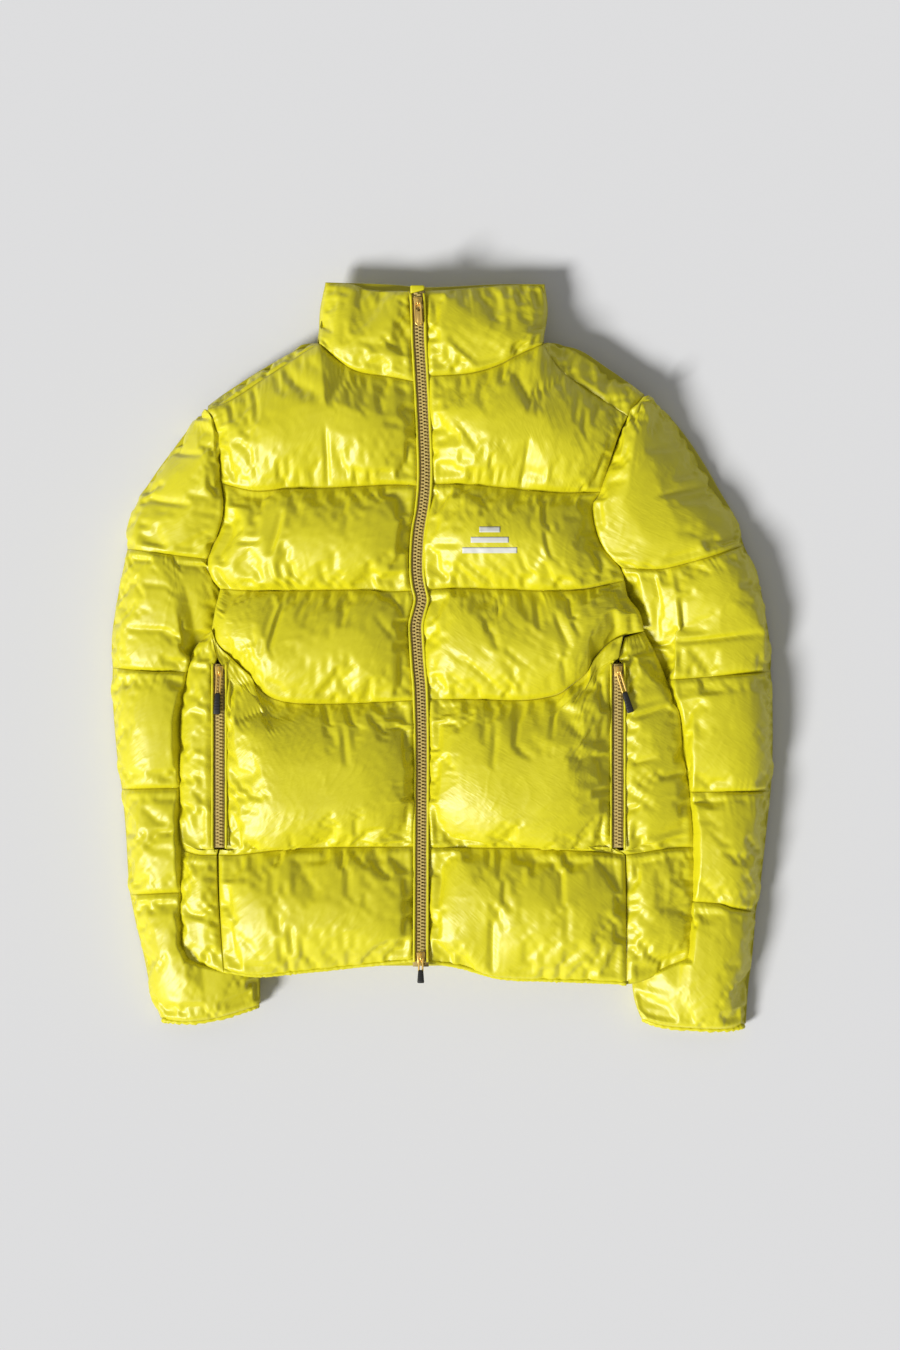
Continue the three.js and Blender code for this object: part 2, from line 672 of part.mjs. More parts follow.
// A moulded grip over the end of a wire pull.
function grip(shank, length) {
  const half = GRIP_WIDTH / 2;
  const start = -shank.length + GRIP_SOCKET;
  const end = start - length;
  const shape = new THREE.Shape();
  shape.moveTo(-half * 0.75, start);
  shape.lineTo(-half, start - 3);
  shape.lineTo(-half, end + 2);
  shape.lineTo(-half * 0.7, end);
  shape.lineTo(half * 0.7, end);
  shape.lineTo(half, end + 2);
  shape.lineTo(half, start - 3);
  shape.lineTo(half * 0.75, start);
  const low = PULL_AXIS - GRIP_THICKNESS / 2 + 0.9;
  const body = slab(shape, low, low + GRIP_THICKNESS);
  const clear = SLIDER_CLEARANCE;
  const socket = block(
    [-shank.width / 2 - clear, -shank.length - clear, PULL_AXIS - PULL_THICKNESS / 2 - clear],
    [shank.width / 2 + clear, start + 1, PULL_AXIS + PULL_THICKNESS / 2 + clear],
  );
  return cut(body, socket);
}

function zipSlider(name, x, y, shank, gripLength) {
  const group = new THREE.Group();
  group.position.set(gradeX(x), gradeY(y), 0);
  jacket.add(group);
  add(`${name}_slider`, slider(), BRASS, group);
  add(`${name}_pull`, pull(shank, !gripLength), BRASS, group);
  if (gripLength) add(`${name}_grip`, grip(shank, gripLength), RUBBER, group);
}

const frontZip = new THREE.Group();
frontZip.position.x = gradeX(ZIP_X);
jacket.add(frontZip);
for (const [side, sign] of [["right", -1], ["left", 1]]) {
  const near = sign * SLOT;
  const far = sign * (ZIP_CHANNEL / 2 - TAPE_MARGIN);
  const tape = block(
    [Math.min(near, far), gradeY(ZIP_BOTTOM), tapeLow],
    [Math.max(near, far), gradeY(ZIP_TOP), tapeHigh],
  );
  add(`zip_tape_${side}`, tape, TAPE, frontZip);
  add(`zip_teeth_${side}`, teeth(sign, gradeY(ZIP_TOP), gradeY(ZIP_BOTTOM)), TEETH, frontZip);
}
zipSlider("zip_top", ZIP_X, TOP_SLIDER_Y, MAIN_PULL, 0);
zipSlider("zip_hem", ZIP_X, HEM_SLIDER_Y, HEM_PULL, HEM_GRIP);

// The small flap above the closed top slider.
const garageWidth = ZIP_CHANNEL / 2 - TAPE_MARGIN;
const garage = new THREE.Shape();
garage.moveTo(-garageWidth, 0);
garage.lineTo(garageWidth, 0);
garage.lineTo(garageWidth, 5);
garage.lineTo(-garageWidth, 9);
add("zip_garage", slab(garage, ZIP_HEIGHT - 6, ZIP_HEIGHT + 5), FABRIC).position.set(
  gradeX(ZIP_X),
  gradeY(ZIP_TOP) + SEAM_GAP,
  0,
);

for (const side of ["right", "left"]) {
  const pocket = new THREE.Group();
  pocket.position.x = gradeX(POCKET_X[side]);
  jacket.add(pocket);
  const half = POCKET_CHANNEL / 2 - TAPE_MARGIN;
  const top = gradeY(POCKET_TOP);
  const bottom = gradeY(POCKET_BOTTOM);
  const inside = [top - END_BAR, bottom + END_BAR];
  const tape = cut(
    block([-half, bottom, tapeLow], [half, top, tapeHigh]),
    block([-SLOT, inside[1], tapeLow - 1], [SLOT, inside[0], tapeHigh + 1]),
  );
  add(`pocket_${side}_tape`, tape, TAPE, pocket);
  for (const [edge, sign] of [["inner", 1], ["outer", -1]]) {
    const row = teeth(sign, inside[0] - SEAM_GAP, inside[1] + SEAM_GAP);
    const name = side === "right" ? edge : { inner: "outer", outer: "inner" }[edge];
    add(`pocket_${side}_teeth_${name}`, row, TEETH, pocket);
  }
  zipSlider(`pocket_${side}`, POCKET_X[side], POCKET_SLIDER_Y, POCKET_PULL, POCKET_GRIP);
}

// ---- Pocket bags: flat linings under the waist chambers ----

const BAG_DEPTH = 100;
for (const [side, sign] of [["right", 1], ["left", -1]]) {
  const x = gradeX(POCKET_X[side]) + (sign * POCKET_CHANNEL) / 2;
  const high = FRONT_FLOOR - SEAM_GAP;
  const ends = [x, x + sign * BAG_DEPTH];
  const bag = block(
    [Math.min(...ends), gradeY(POCKET_BOTTOM) + 4, high - BAG_THICKNESS],
    [Math.max(...ends), gradeY(POCKET_TOP) - 8, high],
  );
  add(`pocket_${side}_bag`, bag, LINING);
}

export default jacket;
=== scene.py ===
"""A quilted down jacket, lying on its back with the sleeves folded down beside the body.

The cloth is laid out in millimetres on the paper pattern, each down chamber is inflated by a cloth
simulation between its seams, and the zips are built tooth by tooth along the front edge.
Left and right are the wearer's: +X is the wearer's left, +Y is towards the collar.
"""

import math

import bmesh
import bpy
import numpy as np
from mathutils import Matrix, Vector, noise
from mathutils.bvhtree import BVHTree


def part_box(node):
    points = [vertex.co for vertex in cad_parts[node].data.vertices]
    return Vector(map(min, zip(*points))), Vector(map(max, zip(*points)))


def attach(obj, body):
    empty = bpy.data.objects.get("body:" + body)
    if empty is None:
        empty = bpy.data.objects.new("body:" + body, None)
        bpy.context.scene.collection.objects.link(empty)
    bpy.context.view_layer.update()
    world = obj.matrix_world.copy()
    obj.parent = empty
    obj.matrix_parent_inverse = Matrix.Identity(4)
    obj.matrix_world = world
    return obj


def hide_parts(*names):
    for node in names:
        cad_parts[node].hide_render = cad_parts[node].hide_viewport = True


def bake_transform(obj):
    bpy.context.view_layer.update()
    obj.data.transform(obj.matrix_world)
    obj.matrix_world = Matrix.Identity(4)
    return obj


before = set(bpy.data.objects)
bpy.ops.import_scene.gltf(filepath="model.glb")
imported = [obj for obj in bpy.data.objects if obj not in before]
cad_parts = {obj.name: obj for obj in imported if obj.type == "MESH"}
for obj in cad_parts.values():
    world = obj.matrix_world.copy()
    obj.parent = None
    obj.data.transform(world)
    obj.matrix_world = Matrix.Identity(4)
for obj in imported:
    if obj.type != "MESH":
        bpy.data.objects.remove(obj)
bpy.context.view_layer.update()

MM = 0.001
CELL = 6.0  # size of a cloth cell in the simulation, mm
FINE_STEPS = 2  # times that the cells are halved after it
CAP_MOST = 9.0  # how far the simulation may move the cloth at most, mm
CAP_SHARE = 0.09  # and as a share of the chamber's size


def box_mm(name):
    """The low and high corner of a solid of the frame, in millimetres."""
    low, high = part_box(name)
    return low / MM, high / MM


FRONT_FLOOR = box_mm("front_left_waist")[0].z
BACK_TOP = box_mm("back_waist")[1].z
TUCK_TOP = 24.0  # height of a sleeve where it lies under the body's side
TAPE_Z = sum(corner.z for corner in box_mm("zip_tape_left")) / 2


# ---- camera


def make_camera():
    """Straight above the jacket, with a long lens."""
    distance, target_z = 3.4, 0.045
    view_height = 1.4445
    camera = bpy.data.cameras.new("camera")
    camera.sensor_width = 36
    camera.lens = camera.sensor_width * distance / view_height
    holder = bpy.data.objects.new("camera", camera)
    holder.location = (0.009, -0.021, target_z + distance)
    bpy.context.collection.objects.link(holder)
    bpy.context.scene.camera = holder


make_camera()


# ---- pattern


def resample(points, count):
    """A smooth curve through the points, as count points an even distance apart."""
    points = np.array(points, float)
    if len(points) == 2:
        return points[0] + np.linspace(0, 1, count)[:, None] * (points[1] - points[0])
    ends = np.vstack([2 * points[0] - points[1], points, 2 * points[-1] - points[-2]])
    t = np.linspace(0, 1, 13)[:-1, None]
    runs = []
    for a, b, c, d in zip(ends, ends[1:], ends[2:], ends[3:]):
        runs.append(0.5 * (2 * b + (c - a) * t + (2 * a - 5 * b + 4 * c - d) * t**2
                           + (3 * b - a - 3 * c + d) * t**3))
    line = np.vstack(runs + [points[-1:]])
    along = np.concatenate([[0], np.cumsum(np.linalg.norm(np.diff(line, axis=0), axis=1))])
    even = np.linspace(0, along[-1], count)
    return np.stack([np.interp(even, along, line[:, k]) for k in range(line.shape[1])], 1)


def length(points):
    """How long the smooth curve through the points is."""
    line = resample(points, 60)
    return np.linalg.norm(np.diff(line, axis=0), axis=1).sum()


def lifted(points, heights):
    """Plan points with a height, which runs smoothly over the heights given."""
    line = resample(points, 61)
    share = np.linspace(0, 1, 61)
    known = np.linspace(0, 1, len(heights))
    return np.column_stack([line, np.interp(share, known, heights)])


def joined(*runs):
    """Curves end to end, with a corner where they meet."""
    return np.vstack([np.array(run, float) for run in runs])


ZIP_PATH = [  # centre of the front zip, from the hem up
    (-22.2, -332), (-21.8, -206), (-21.4, -100), (-22.6, -40), (-24.7, -14), (-26.4, 11),
    (-27.3, 32), (-24.7, 45), (-21.3, 60), (-24.7, 75), (-26.4, 96), (-24.7, 130),
    (-19.8, 161), (-17.7, 198), (-20.4, 268), (-21.9, 297), (-24.1, 335), (-24.6, 356),
    (-25.4, 376), (-26.2, 390),
]
_zip_line = resample(ZIP_PATH, 400)


def zip_x(y):
    """Where the middle of the front zip is at this height on the body."""
    return float(np.interp(y, _zip_line[:, 1], _zip_line[:, 0]))


ZIP_HALF = 6.9  # half the tape's visible width


def front_edge(sign, top, bottom, heights=(57, 57)):
    """The edge of a front along the zip, from top to bottom."""
    ys = np.linspace(top, bottom, 24)
    points = [(zip_x(y) + sign * ZIP_HALF, y) for y in ys]
    return lifted(points, heights)


SEAM = 54  # height of a seam across the fronts
SIDE = 44  # height where that seam meets the body's side
HEM_RISE = (43, 42, 43, 50)  # heights along the hem, from the side to the zip


def across(points, *heights):
    """A seam with the heights given, or those of a seam across a front."""
    return lifted(points, heights or (SIDE, SEAM, SEAM + 1, 55))


# Seams run from the body's side in to the zip. pocket_at is the bib's point where the pocket starts.
RIGHT = {
    "shoulder": [(-250, 263), (-224, 274), (-186, 299), (-146, 325), (-131, 333)],
    "outline": [(-251, 268), (-236, 280), (-214, 295), (-190, 310), (-163, 325), (-134, 336)],
    "neck": [(-131, 333), (-103, 310), (-86, 302), (-60, 298), (-29, 292)],
    "collar_top": [(-125, 401), (-98, 399), (-76, 392), (-33, 389)],
    "collar_side": [(-125, 401), (-132, 370), (-133, 336)],
    "armhole_yoke": [(-250, 263), (-243, 247), (-238, 223), (-236, 188), (-235, 184)],
    "chest": [(-235, 184), (-200, 176), (-163, 178), (-112, 179), (-54, 182), (-25, 181)],
    "armhole_chest": [(-235, 184), (-233, 160), (-238, 133), (-250, 103), (-247, 84), (-237, 71)],
    "rib": [(-237, 71), (-190, 69), (-88, 70), (-60, 68), (-31, 69)],
    "armhole_rib": [(-237, 71), (-242, 50), (-246, 28)],
    "bib": [(-246, 28), (-238, 10), (-224, -3), (-207, -20), (-190, -40), (-170, -49),
            (-139, -52), (-88, -51), (-29, -48)],
    "pocket": [(-246, 28), (-242, 8), (-238.6, -3), (-231.5, -12), (-230, -60), (-230, -199),
               (-237, -206), (-239, -213)],
    "pocket_outer": [(-246, 26), (-243, 8), (-239.6, -3), (-243, -12), (-244, -60), (-243.5, -199),
                     (-238.2, -206), (-240, -213)],
    "waist": [(-238, -213), (-217, -213), (-176, -208), (-125, -205), (-28, -204)],
    "hem_side": [(-240, -213), (-239, -253), (-236, -302), (-233, -338)],
    "hem": [(-233, -338), (-196, -343), (-149, -339), (-84, -332), (-29, -326)],
    "side": [(-252, 22), (-267, 4), (-276, -33), (-281, -69), (-282, -180), (-279, -208)],
    "side_seam": [(-279, -208), (-260, -213), (-240, -213)],
    "side_hem": [(-279, -208), (-281, -253), (-280, -310), (-273, -326)],
    "side_foot": [(-273, -326), (-258, -334), (-233, -340)],
    "sign": -1,
    "pocket_at": 0,
}
LEFT = {
    "shoulder": [(199, 256), (176, 271), (152, 287), (127, 306), (108, 333)],
    "outline": [(218, 280), (202, 293), (176, 311), (150, 328), (127, 334), (110, 336)],
    "neck": [(108, 333), (84, 322), (61, 310), (35, 302), (8, 299), (-15, 298)],
    "collar_top": [(111, 399), (59, 397), (5, 391), (-19.5, 389)],
    "collar_side": [(111, 399), (115, 370), (110, 336)],
    "armhole_yoke": [(199, 256), (190, 237), (179, 204), (170, 175)],
    "chest": [(170, 175), (128, 174), (86, 177), (35, 182), (-11, 183)],
    "armhole_chest": [(170, 175), (162, 158), (169, 122), (190, 95), (196, 80)],
    "rib": [(196, 80), (153, 71), (111, 69), (48, 71), (-4, 71), (-17, 67)],
    "armhole_rib": [(196, 80), (200, 62), (212, 46), (217, 26)],
    "bib": [(217, 26), (194, 21), (180, 14), (166, 0), (153, -20), (136, -34), (120, -43),
            (86, -48), (35, -47), (-15, -47)],
    "pocket": [(194, 21), (191, 6), (188.5, -4), (181.5, -13), (181, -60), (181, -199),
               (187, -206), (196, -213)],
    "pocket_outer": [(196, 19), (192, 6), (189.5, -4), (194, -13), (195, -60), (195, -199),
                     (188.5, -206), (197, -213)],
    "waist": [(196, -213), (167, -210), (94, -206), (-14, -205)],
    "hem_side": [(197, -213), (198, -260), (198, -352)],
    "hem": [(198, -352), (178, -350), (114, -348), (61, -345), (19, -333), (-15, -328)],
    "side": [(217, 26), (229, 3), (242, -28), (255, -62), (261, -105), (267, -145), (270, -191),
             (270, -205)],
    "side_seam": [(270, -205), (240, -207), (197, -213)],
    "side_hem": [(270, -205), (271, -251), (269, -290), (266, -326)],
    "side_foot": [(266, -326), (243, -336), (229, -344), (210, -351), (198, -352)],
    "sign": 1,
    "pocket_at": 1,
}

# Each chamber's outer line from its top seam to its lower one, and the seam at its lower end from
# the outer line in to the hidden inner edge. cover is the share that the body leaves in view.
RIGHT_SLEEVE = {
    "outer": [
        [(-256, 264), (-273, 246), (-292, 221), (-311, 195), (-330, 164), (-339, 138), (-340, 115)],
        [(-340, 115), (-349, 72), (-356, 28), (-357, 5), (-356, -13)],
        [(-356, -13), (-356, -48), (-351, -110), (-346, -144)],
        [(-346, -144), (-342, -187), (-339, -240), (-337, -258)],
        [(-337, -258), (-331, -289), (-322, -326), (-314, -365), (-304, -392)],
    ],
    "inner": [
        [(-248, 262), (-243, 247), (-238, 223), (-236, 188), (-233, 160), (-238, 133), (-250, 103)],
        [(-250, 103), (-237, 71), (-226, 43), (-218, 11), (-209, -28)],
        [(-209, -28), (-205, -88), (-203, -144)],
        [(-203, -144), (-201, -200), (-200, -254)],
        [(-200, -254), (-197, -314), (-196, -376)],
    ],
    "seams": [
        [(-256, 264), (-248, 262)],
        [(-340, 115), (-292, 108), (-250, 103)],
        [(-356, -13), (-310, -17), (-274, -18), (-209, -28)],
        [(-346, -144), (-283, -142), (-203, -144)],
        [(-337, -258), (-282, -254), (-200, -254)],
        [(-304, -392), (-272, -394), (-238, -389), (-196, -376)],
    ],
    "cover": [1.0, 1.0, 0.60, 0.46, 0.43, 1.0],
}
LEFT_SLEEVE = {
    "outer": [
        [(224, 279), (246, 259), (265, 236), (285, 206), (301, 178), (317, 150), (327, 119)],
        [(327, 119), (341, 87), (349, 52), (356, 7), (356, -17)],
        [(356, -17), (358, -48), (358, -110), (356, -146)],
        [(356, -146), (353, -175), (348, -221), (344, -255), (340, -277)],
        [(340, -277), (336, -326), (332, -356), (329, -398)],
    ],
    "inner": [
        [(216, 277), (199, 254), (179, 204), (168, 172), (161, 157), (170, 122), (192, 94)],
        [(192, 94), (198, 66), (203, 30), (206, -28)],
        [(206, -28), (208, -86), (209, -146)],
        [(209, -146), (211, -200), (212, -262)],
        [(212, -262), (206, -340), (208, -370), (215, -391)],
    ],
    "seams": [
        [(224, 279), (216, 277)],
        [(327, 119), (295, 108), (253, 96), (229, 92), (192, 94)],
        [(356, -17), (308, -21), (245, -26), (206, -28)],
        [(356, -146), (267, -146), (209, -146)],
        [(340, -277), (312, -271), (289, -265), (212, -262)],
        [(329, -398), (304, -402), (245, -399), (215, -391)],
    ],
    "cover": [1.0, 1.0, 0.74, 0.62, 0.56, 1.0],
}


# ---- chambers


class Chamber:
    """One down chamber: a grid of cloth between four seams, and what it stands for.

    A pad that faces the ground is worked out the right way up and turned over at the end, about
    half of turned, which is the height where its two faces would meet.
    """

    def __init__(self, name, top, bottom, start, end, puff, floor, body="jacket_body",
                 nodes=None, turned=None, press=None):
        mean_size = min(length(top) + length(bottom), length(start) + length(end)) / 2
        self.cap = min(CAP_MOST, CAP_SHARE * mean_size)
        self.name, self.puff, self.floor, self.body = name, puff, floor, body
        self.nodes = nodes if nodes is not None else [name]
        self.turned, self.press = turned, press
        wide = max(length(top), length(bottom))
        long = max(length(start), length(end))
        self.columns = max(4, round(wide / CELL))
        self.rows = max(4, round(long / CELL))
        self.points = self.coons(top, bottom, start, end)

    def coons(self, top, bottom, start, end):
        """A sheet stretched between four seams, and raised in its middle."""
        nx, ny = self.columns + 1, self.rows + 1
        top, bottom = resample(top, nx), resample(bottom, nx)
        start, end = resample(start, ny), resample(end, ny)
        t = np.linspace(0, 1, ny)[:, None]
        u = np.linspace(0, 1, nx)[:, None]
        start = start + (1 - t) * (top[0] - start[0]) + t * (bottom[0] - start[-1])
        end = end + (1 - t) * (top[-1] - end[0]) + t * (bottom[-1] - end[-1])
        tt, uu = t[:, :, None], u[None, :, :]
        points = (1 - tt) * top[None] + tt * bottom[None]
        points = points + (1 - uu) * start[:, None] + uu * end[:, None]
        points -= (1 - tt) * ((1 - uu) * top[0] + uu * top[-1])
        points -= tt * ((1 - uu) * bottom[0] + uu * bottom[-1])
        swell = (1 - abs(2 * uu - 1) ** 4.2) * (1 - abs(2 * tt - 1) ** 2.5)
        points[:, :, 2:3] += self.puff * np.clip(swell, 0, 1) ** 0.85
        return points

    @staticmethod
    def grid(points):
        """The cloth with its points in the patch's order: rows from the top, columns across."""
        rows, columns = points.shape[0] - 1, points.shape[1] - 1
        bm = bmesh.new()
        bmesh.ops.create_grid(bm, x_segments=columns, y_segments=rows, size=1)
        for vertex in bm.verts:
            column = round((vertex.co.x + 1) / 2 * columns)
            row = round((1 - vertex.co.y) / 2 * rows)
            vertex.co = Vector(points[row, column]) * MM
        a, b, c = points[0, 0], points[0, -1], points[-1, 0]
        if np.cross(b - a, a - c)[2] < 0:
            bmesh.ops.reverse_faces(bm, faces=bm.faces)
        return bm

    def order(self):
        """Where each of the cloth's points is in the operator's own vertex order."""
        rows, columns = self.rows + 1, self.columns + 1
        return np.arange(rows * columns).reshape(rows, columns)[::-1]


CHAMBERS = []


def chamber(*args, **settings):
    """Adds a chamber to the list that is inflated below."""
    CHAMBERS.append(Chamber(*args, **settings))


def side_name(cloth):
    """The wearer's side that this front is on."""
    return "right" if cloth["sign"] < 0 else "left"


def make_front(cloth):
    """One front: its five chambers, the side panel beyond the pocket, and its half of the collar."""
    side, sign, bib = side_name(cloth), cloth["sign"], cloth["bib"]
    low = TUCK_TOP + 12
    neck = across(cloth["neck"], 48, 53, 54, 57)
    upper = joined(across(cloth["shoulder"], 48, 45, 45, 48), neck[1:])
    chest, rib = across(cloth["chest"]), across(cloth["rib"])
    waist = across(cloth["waist"], 52, SEAM, SEAM + 1, 55)
    hem_side = across(cloth["hem_side"], 52, 49, 43)
    side_seam = across(cloth["side_seam"], low + 5, 48, 52)
    chamber(f"front_{side}_yoke", upper, chest, across(cloth["armhole_yoke"], 48, 49, SIDE),
            front_edge(sign, 292, 182), 20, FRONT_FLOOR)
    chamber(f"front_{side}_chest", chest, rib, across(cloth["armhole_chest"], SIDE, 46, SIDE),
            front_edge(sign, 182, 69), 21, FRONT_FLOOR)
    chamber(f"front_{side}_midriff", rib, across(bib), across(cloth["armhole_rib"], SIDE, 46, SIDE),
            front_edge(sign, 69, -48), 21, FRONT_FLOOR)
    chamber(f"front_{side}_waist", across(bib[cloth["pocket_at"]:], 52, SEAM, SEAM + 1, 55), waist,
            across(cloth["pocket"], 52, 57, 57, 52), front_edge(sign, -48, -205), 22, FRONT_FLOOR)
    chamber(f"front_{side}_hem", waist, lifted(cloth["hem"], HEM_RISE), hem_side,
            front_edge(sign, -205, -328, (57, 50)), 21, FRONT_FLOOR)
    chamber(f"side_{side}_upper", across([cloth["side"][0], cloth["pocket_outer"][0]], 36, 46),
            side_seam, across(cloth["side"], 36, low, low, low + 5),
            across(cloth["pocket_outer"], 46, 57, 57, 52), 9, TUCK_TOP + 2)
    chamber(f"side_{side}_hem", side_seam, across(cloth["side_foot"], low, 33, 43),
            across(cloth["side_hem"], low + 5, low, low), hem_side, 9, TUCK_TOP + 2)
    chamber(f"collar_{side}", across(cloth["collar_top"], 28, 34, 40, 52), neck,
            across(cloth["collar_side"], 28, 27, 30, 48), front_edge(sign, 388, 292, (54, 57)),
            15, FRONT_FLOOR)


def arch(points, cover, height, low=5.0):
    """A seam over a sleeve: up from the ground, over, and down where the body lies on it."""
    line = resample(points, 61)
    share = np.linspace(0, 1, 61)
    rise = np.sqrt(np.clip(1 - (1 - np.clip(share / 0.36, 0, 1)) ** 2, 0, 1))
    fall = np.clip((share - cover + 0.02) / 0.07, 0, 1)
    tucked = min(height, TUCK_TOP - 4)
    z = low + (height - low) * rise
    z = z + (np.minimum(z, tucked) - z) * fall * fall * (3 - 2 * fall)
    drop = np.clip((1 - share) / 0.1, 0, 1)
    z = np.where(cover < 0.97, low + (z - low) * np.sqrt(drop), z)
    return np.column_stack([line, z])


SLEEVE_PARTS = ("shoulder", "upper", "elbow", "lower", "wrist")
SLEEVE_RISE = (46, 47, 45, 43, 41, 26)  # height of each seam over the sleeve, from the shoulder down
SLEEVE_OUTER_RISE = {"shoulder": (34, 14, 6, 5)}
SLEEVE_INNER_RISE = {"shoulder": (50, 50, 48, 44), "upper": (44, 24, 5, 5)}


def make_sleeve(cloth, side):
    """The five chambers down the top of a sleeve."""
    body = RIGHT if side == "right" else LEFT
    body_line = {"side": body["side"] + body["side_hem"][1:], "sign": body["sign"],
                 "foot": body["side_foot"] + body["hem"][1:]}
    for index, part in enumerate(SLEEVE_PARTS):
        outer = lifted(cloth["outer"][index], SLEEVE_OUTER_RISE.get(part, (5, 5)))
        inner = lifted(cloth["inner"][index], SLEEVE_INNER_RISE.get(part, (5, 5)))
        top = arch(cloth["seams"][index], cloth["cover"][index], SLEEVE_RISE[index])
        bottom = arch(cloth["seams"][index + 1], cloth["cover"][index + 1], SLEEVE_RISE[index + 1])
        chamber(f"sleeve_{side}_{part}", top, bottom, outer, inner, 9, 4, body=f"{side}_sleeve",
                press=None if part == "shoulder" else body_line)


def make_ridge(cloth):
    """The part of the back yoke that comes forward over a shoulder."""
    ends = [cloth["outline"][0], cloth["shoulder"][0]], [cloth["outline"][-1], cloth["shoulder"][-1]]
    name = f"ridge_{side_name(cloth)}"
    chamber(name, across(cloth["outline"], 32, 22, 20, 26), across(cloth["shoulder"], 48, 45, 45, 48),
            across(ends[0], 32, 48), across(ends[1], 26, 48), 4, 12, nodes=["back_yoke"])


BACK_LEVELS = {"chest": 176, "midriff": 70, "waist": -48, "hem": -206, "end": -334}
BACK_RIGHT = {"chest": -232, "midriff": -235, "waist": -243, "hem": -243, "end": -243}
BACK_LEFT = {"chest": 163, "midriff": 192, "waist": 193, "hem": 193, "end": 193}
BACK_SEAM = 9  # depth of a back seam below the pad's inner face
WING_LINE = -182  # the back passes over the right sleeve outside this line


def make_back():
    """The back's rows of chambers, its yoke and the back of the collar, all facing the ground."""
    rows = list(BACK_LEVELS)
    for name, below in zip(rows, rows[1:]):
        lines = []
        for level in (name, below):
            y = BACK_LEVELS[level]
            ends = (BACK_RIGHT[level], y), (BACK_LEFT[level], y)
            winged = y < 60
            heights = [0, 0, BACK_SEAM] + [BACK_SEAM] * 6 if winged else [BACK_SEAM] * 9
            lines.append(lifted(ends, heights))
        top, bottom = lines
        start = lifted((top[0][:2], bottom[0][:2]), (top[0][2], bottom[0][2]))
        end = lifted((top[-1][:2], bottom[-1][:2]), (BACK_SEAM, BACK_SEAM))
        press = {"line": WING_LINE, "slope": 0.6} if name != "chest" else None
        chamber(f"back_{name}", top, bottom, start, end, 15, 2, turned=BACK_TOP, press=press)
    neck = (-12, 322)
    outline = joined(RIGHT["outline"], [neck], LEFT["outline"][::-1])
    foot = [(BACK_RIGHT["chest"], 176), (BACK_LEFT["chest"], 176)]
    chamber("back_yoke", across(outline, BACK_SEAM, BACK_SEAM), across(foot, BACK_SEAM, BACK_SEAM),
            across([outline[0], foot[0]], BACK_SEAM, BACK_SEAM),
            across([outline[-1], foot[1]], BACK_SEAM, BACK_SEAM), 15, 2, turned=BACK_TOP)
    rim = [RIGHT["collar_top"][0], (-60, 399), (-12, 396), (60, 399), LEFT["collar_top"][0]]
    base = [RIGHT["outline"][-1], neck, LEFT["outline"][-1]]
    chamber("collar_back", across(rim, 4, 4), across(base, BACK_SEAM, BACK_SEAM),
            across([rim[0], base[0]], 4, BACK_SEAM), across([rim[-1], base[-1]], 4, BACK_SEAM),
            14, 2, turned=BACK_TOP)


def make_under_sleeve(cloth, side):
    """The side of a sleeve that lies on the ground, split where the shoulder's seam runs."""
    top, bottom = cloth["seams"][0], [cloth["outer"][-1][-1], cloth["inner"][-1][-1]]
    names = {"nodes": [f"sleeve_{side}_under"], "body": f"{side}_sleeve", "turned": 9}
    joint = cloth["seams"][1]
    outer, inner = cloth["outer"], cloth["inner"]
    chamber(f"sleeve_{side}_under_shoulder", across(top, 2, 2), across(joint, 2, 2),
            across(outer[0], 3, 3), across(inner[0], 2, 2), 5, 1, **names)
    outer, inner = joined(*outer[1:]), joined(*inner[1:])
    chamber(f"sleeve_{side}_under", across(joint, 2, 2), across(bottom, 2, 2), across(outer, 3, 3),
            across(inner, 2, 2), 5, 1, **names)


for cloth in (RIGHT, LEFT):
    make_front(cloth)
    make_ridge(cloth)
make_sleeve(RIGHT_SLEEVE, "right")
make_sleeve(LEFT_SLEEVE, "left")
make_back()
make_under_sleeve(RIGHT_SLEEVE, "right")
make_under_sleeve(LEFT_SLEEVE, "left")


# ---- cloth simulation


THIN_CLOTH = {
    "vertex_group_mass": "seams", "quality": 4, "mass": 0.06, "air_damping": 2.0,
    "tension_stiffness": 12, "compression_stiffness": 12, "shear_stiffness": 4,
    "bending_stiffness": 0.02, "use_pressure": True, "uniform_pressure_force": 4.0,
    "shrink_min": -0.05, "shrink_max": -0.05,
}


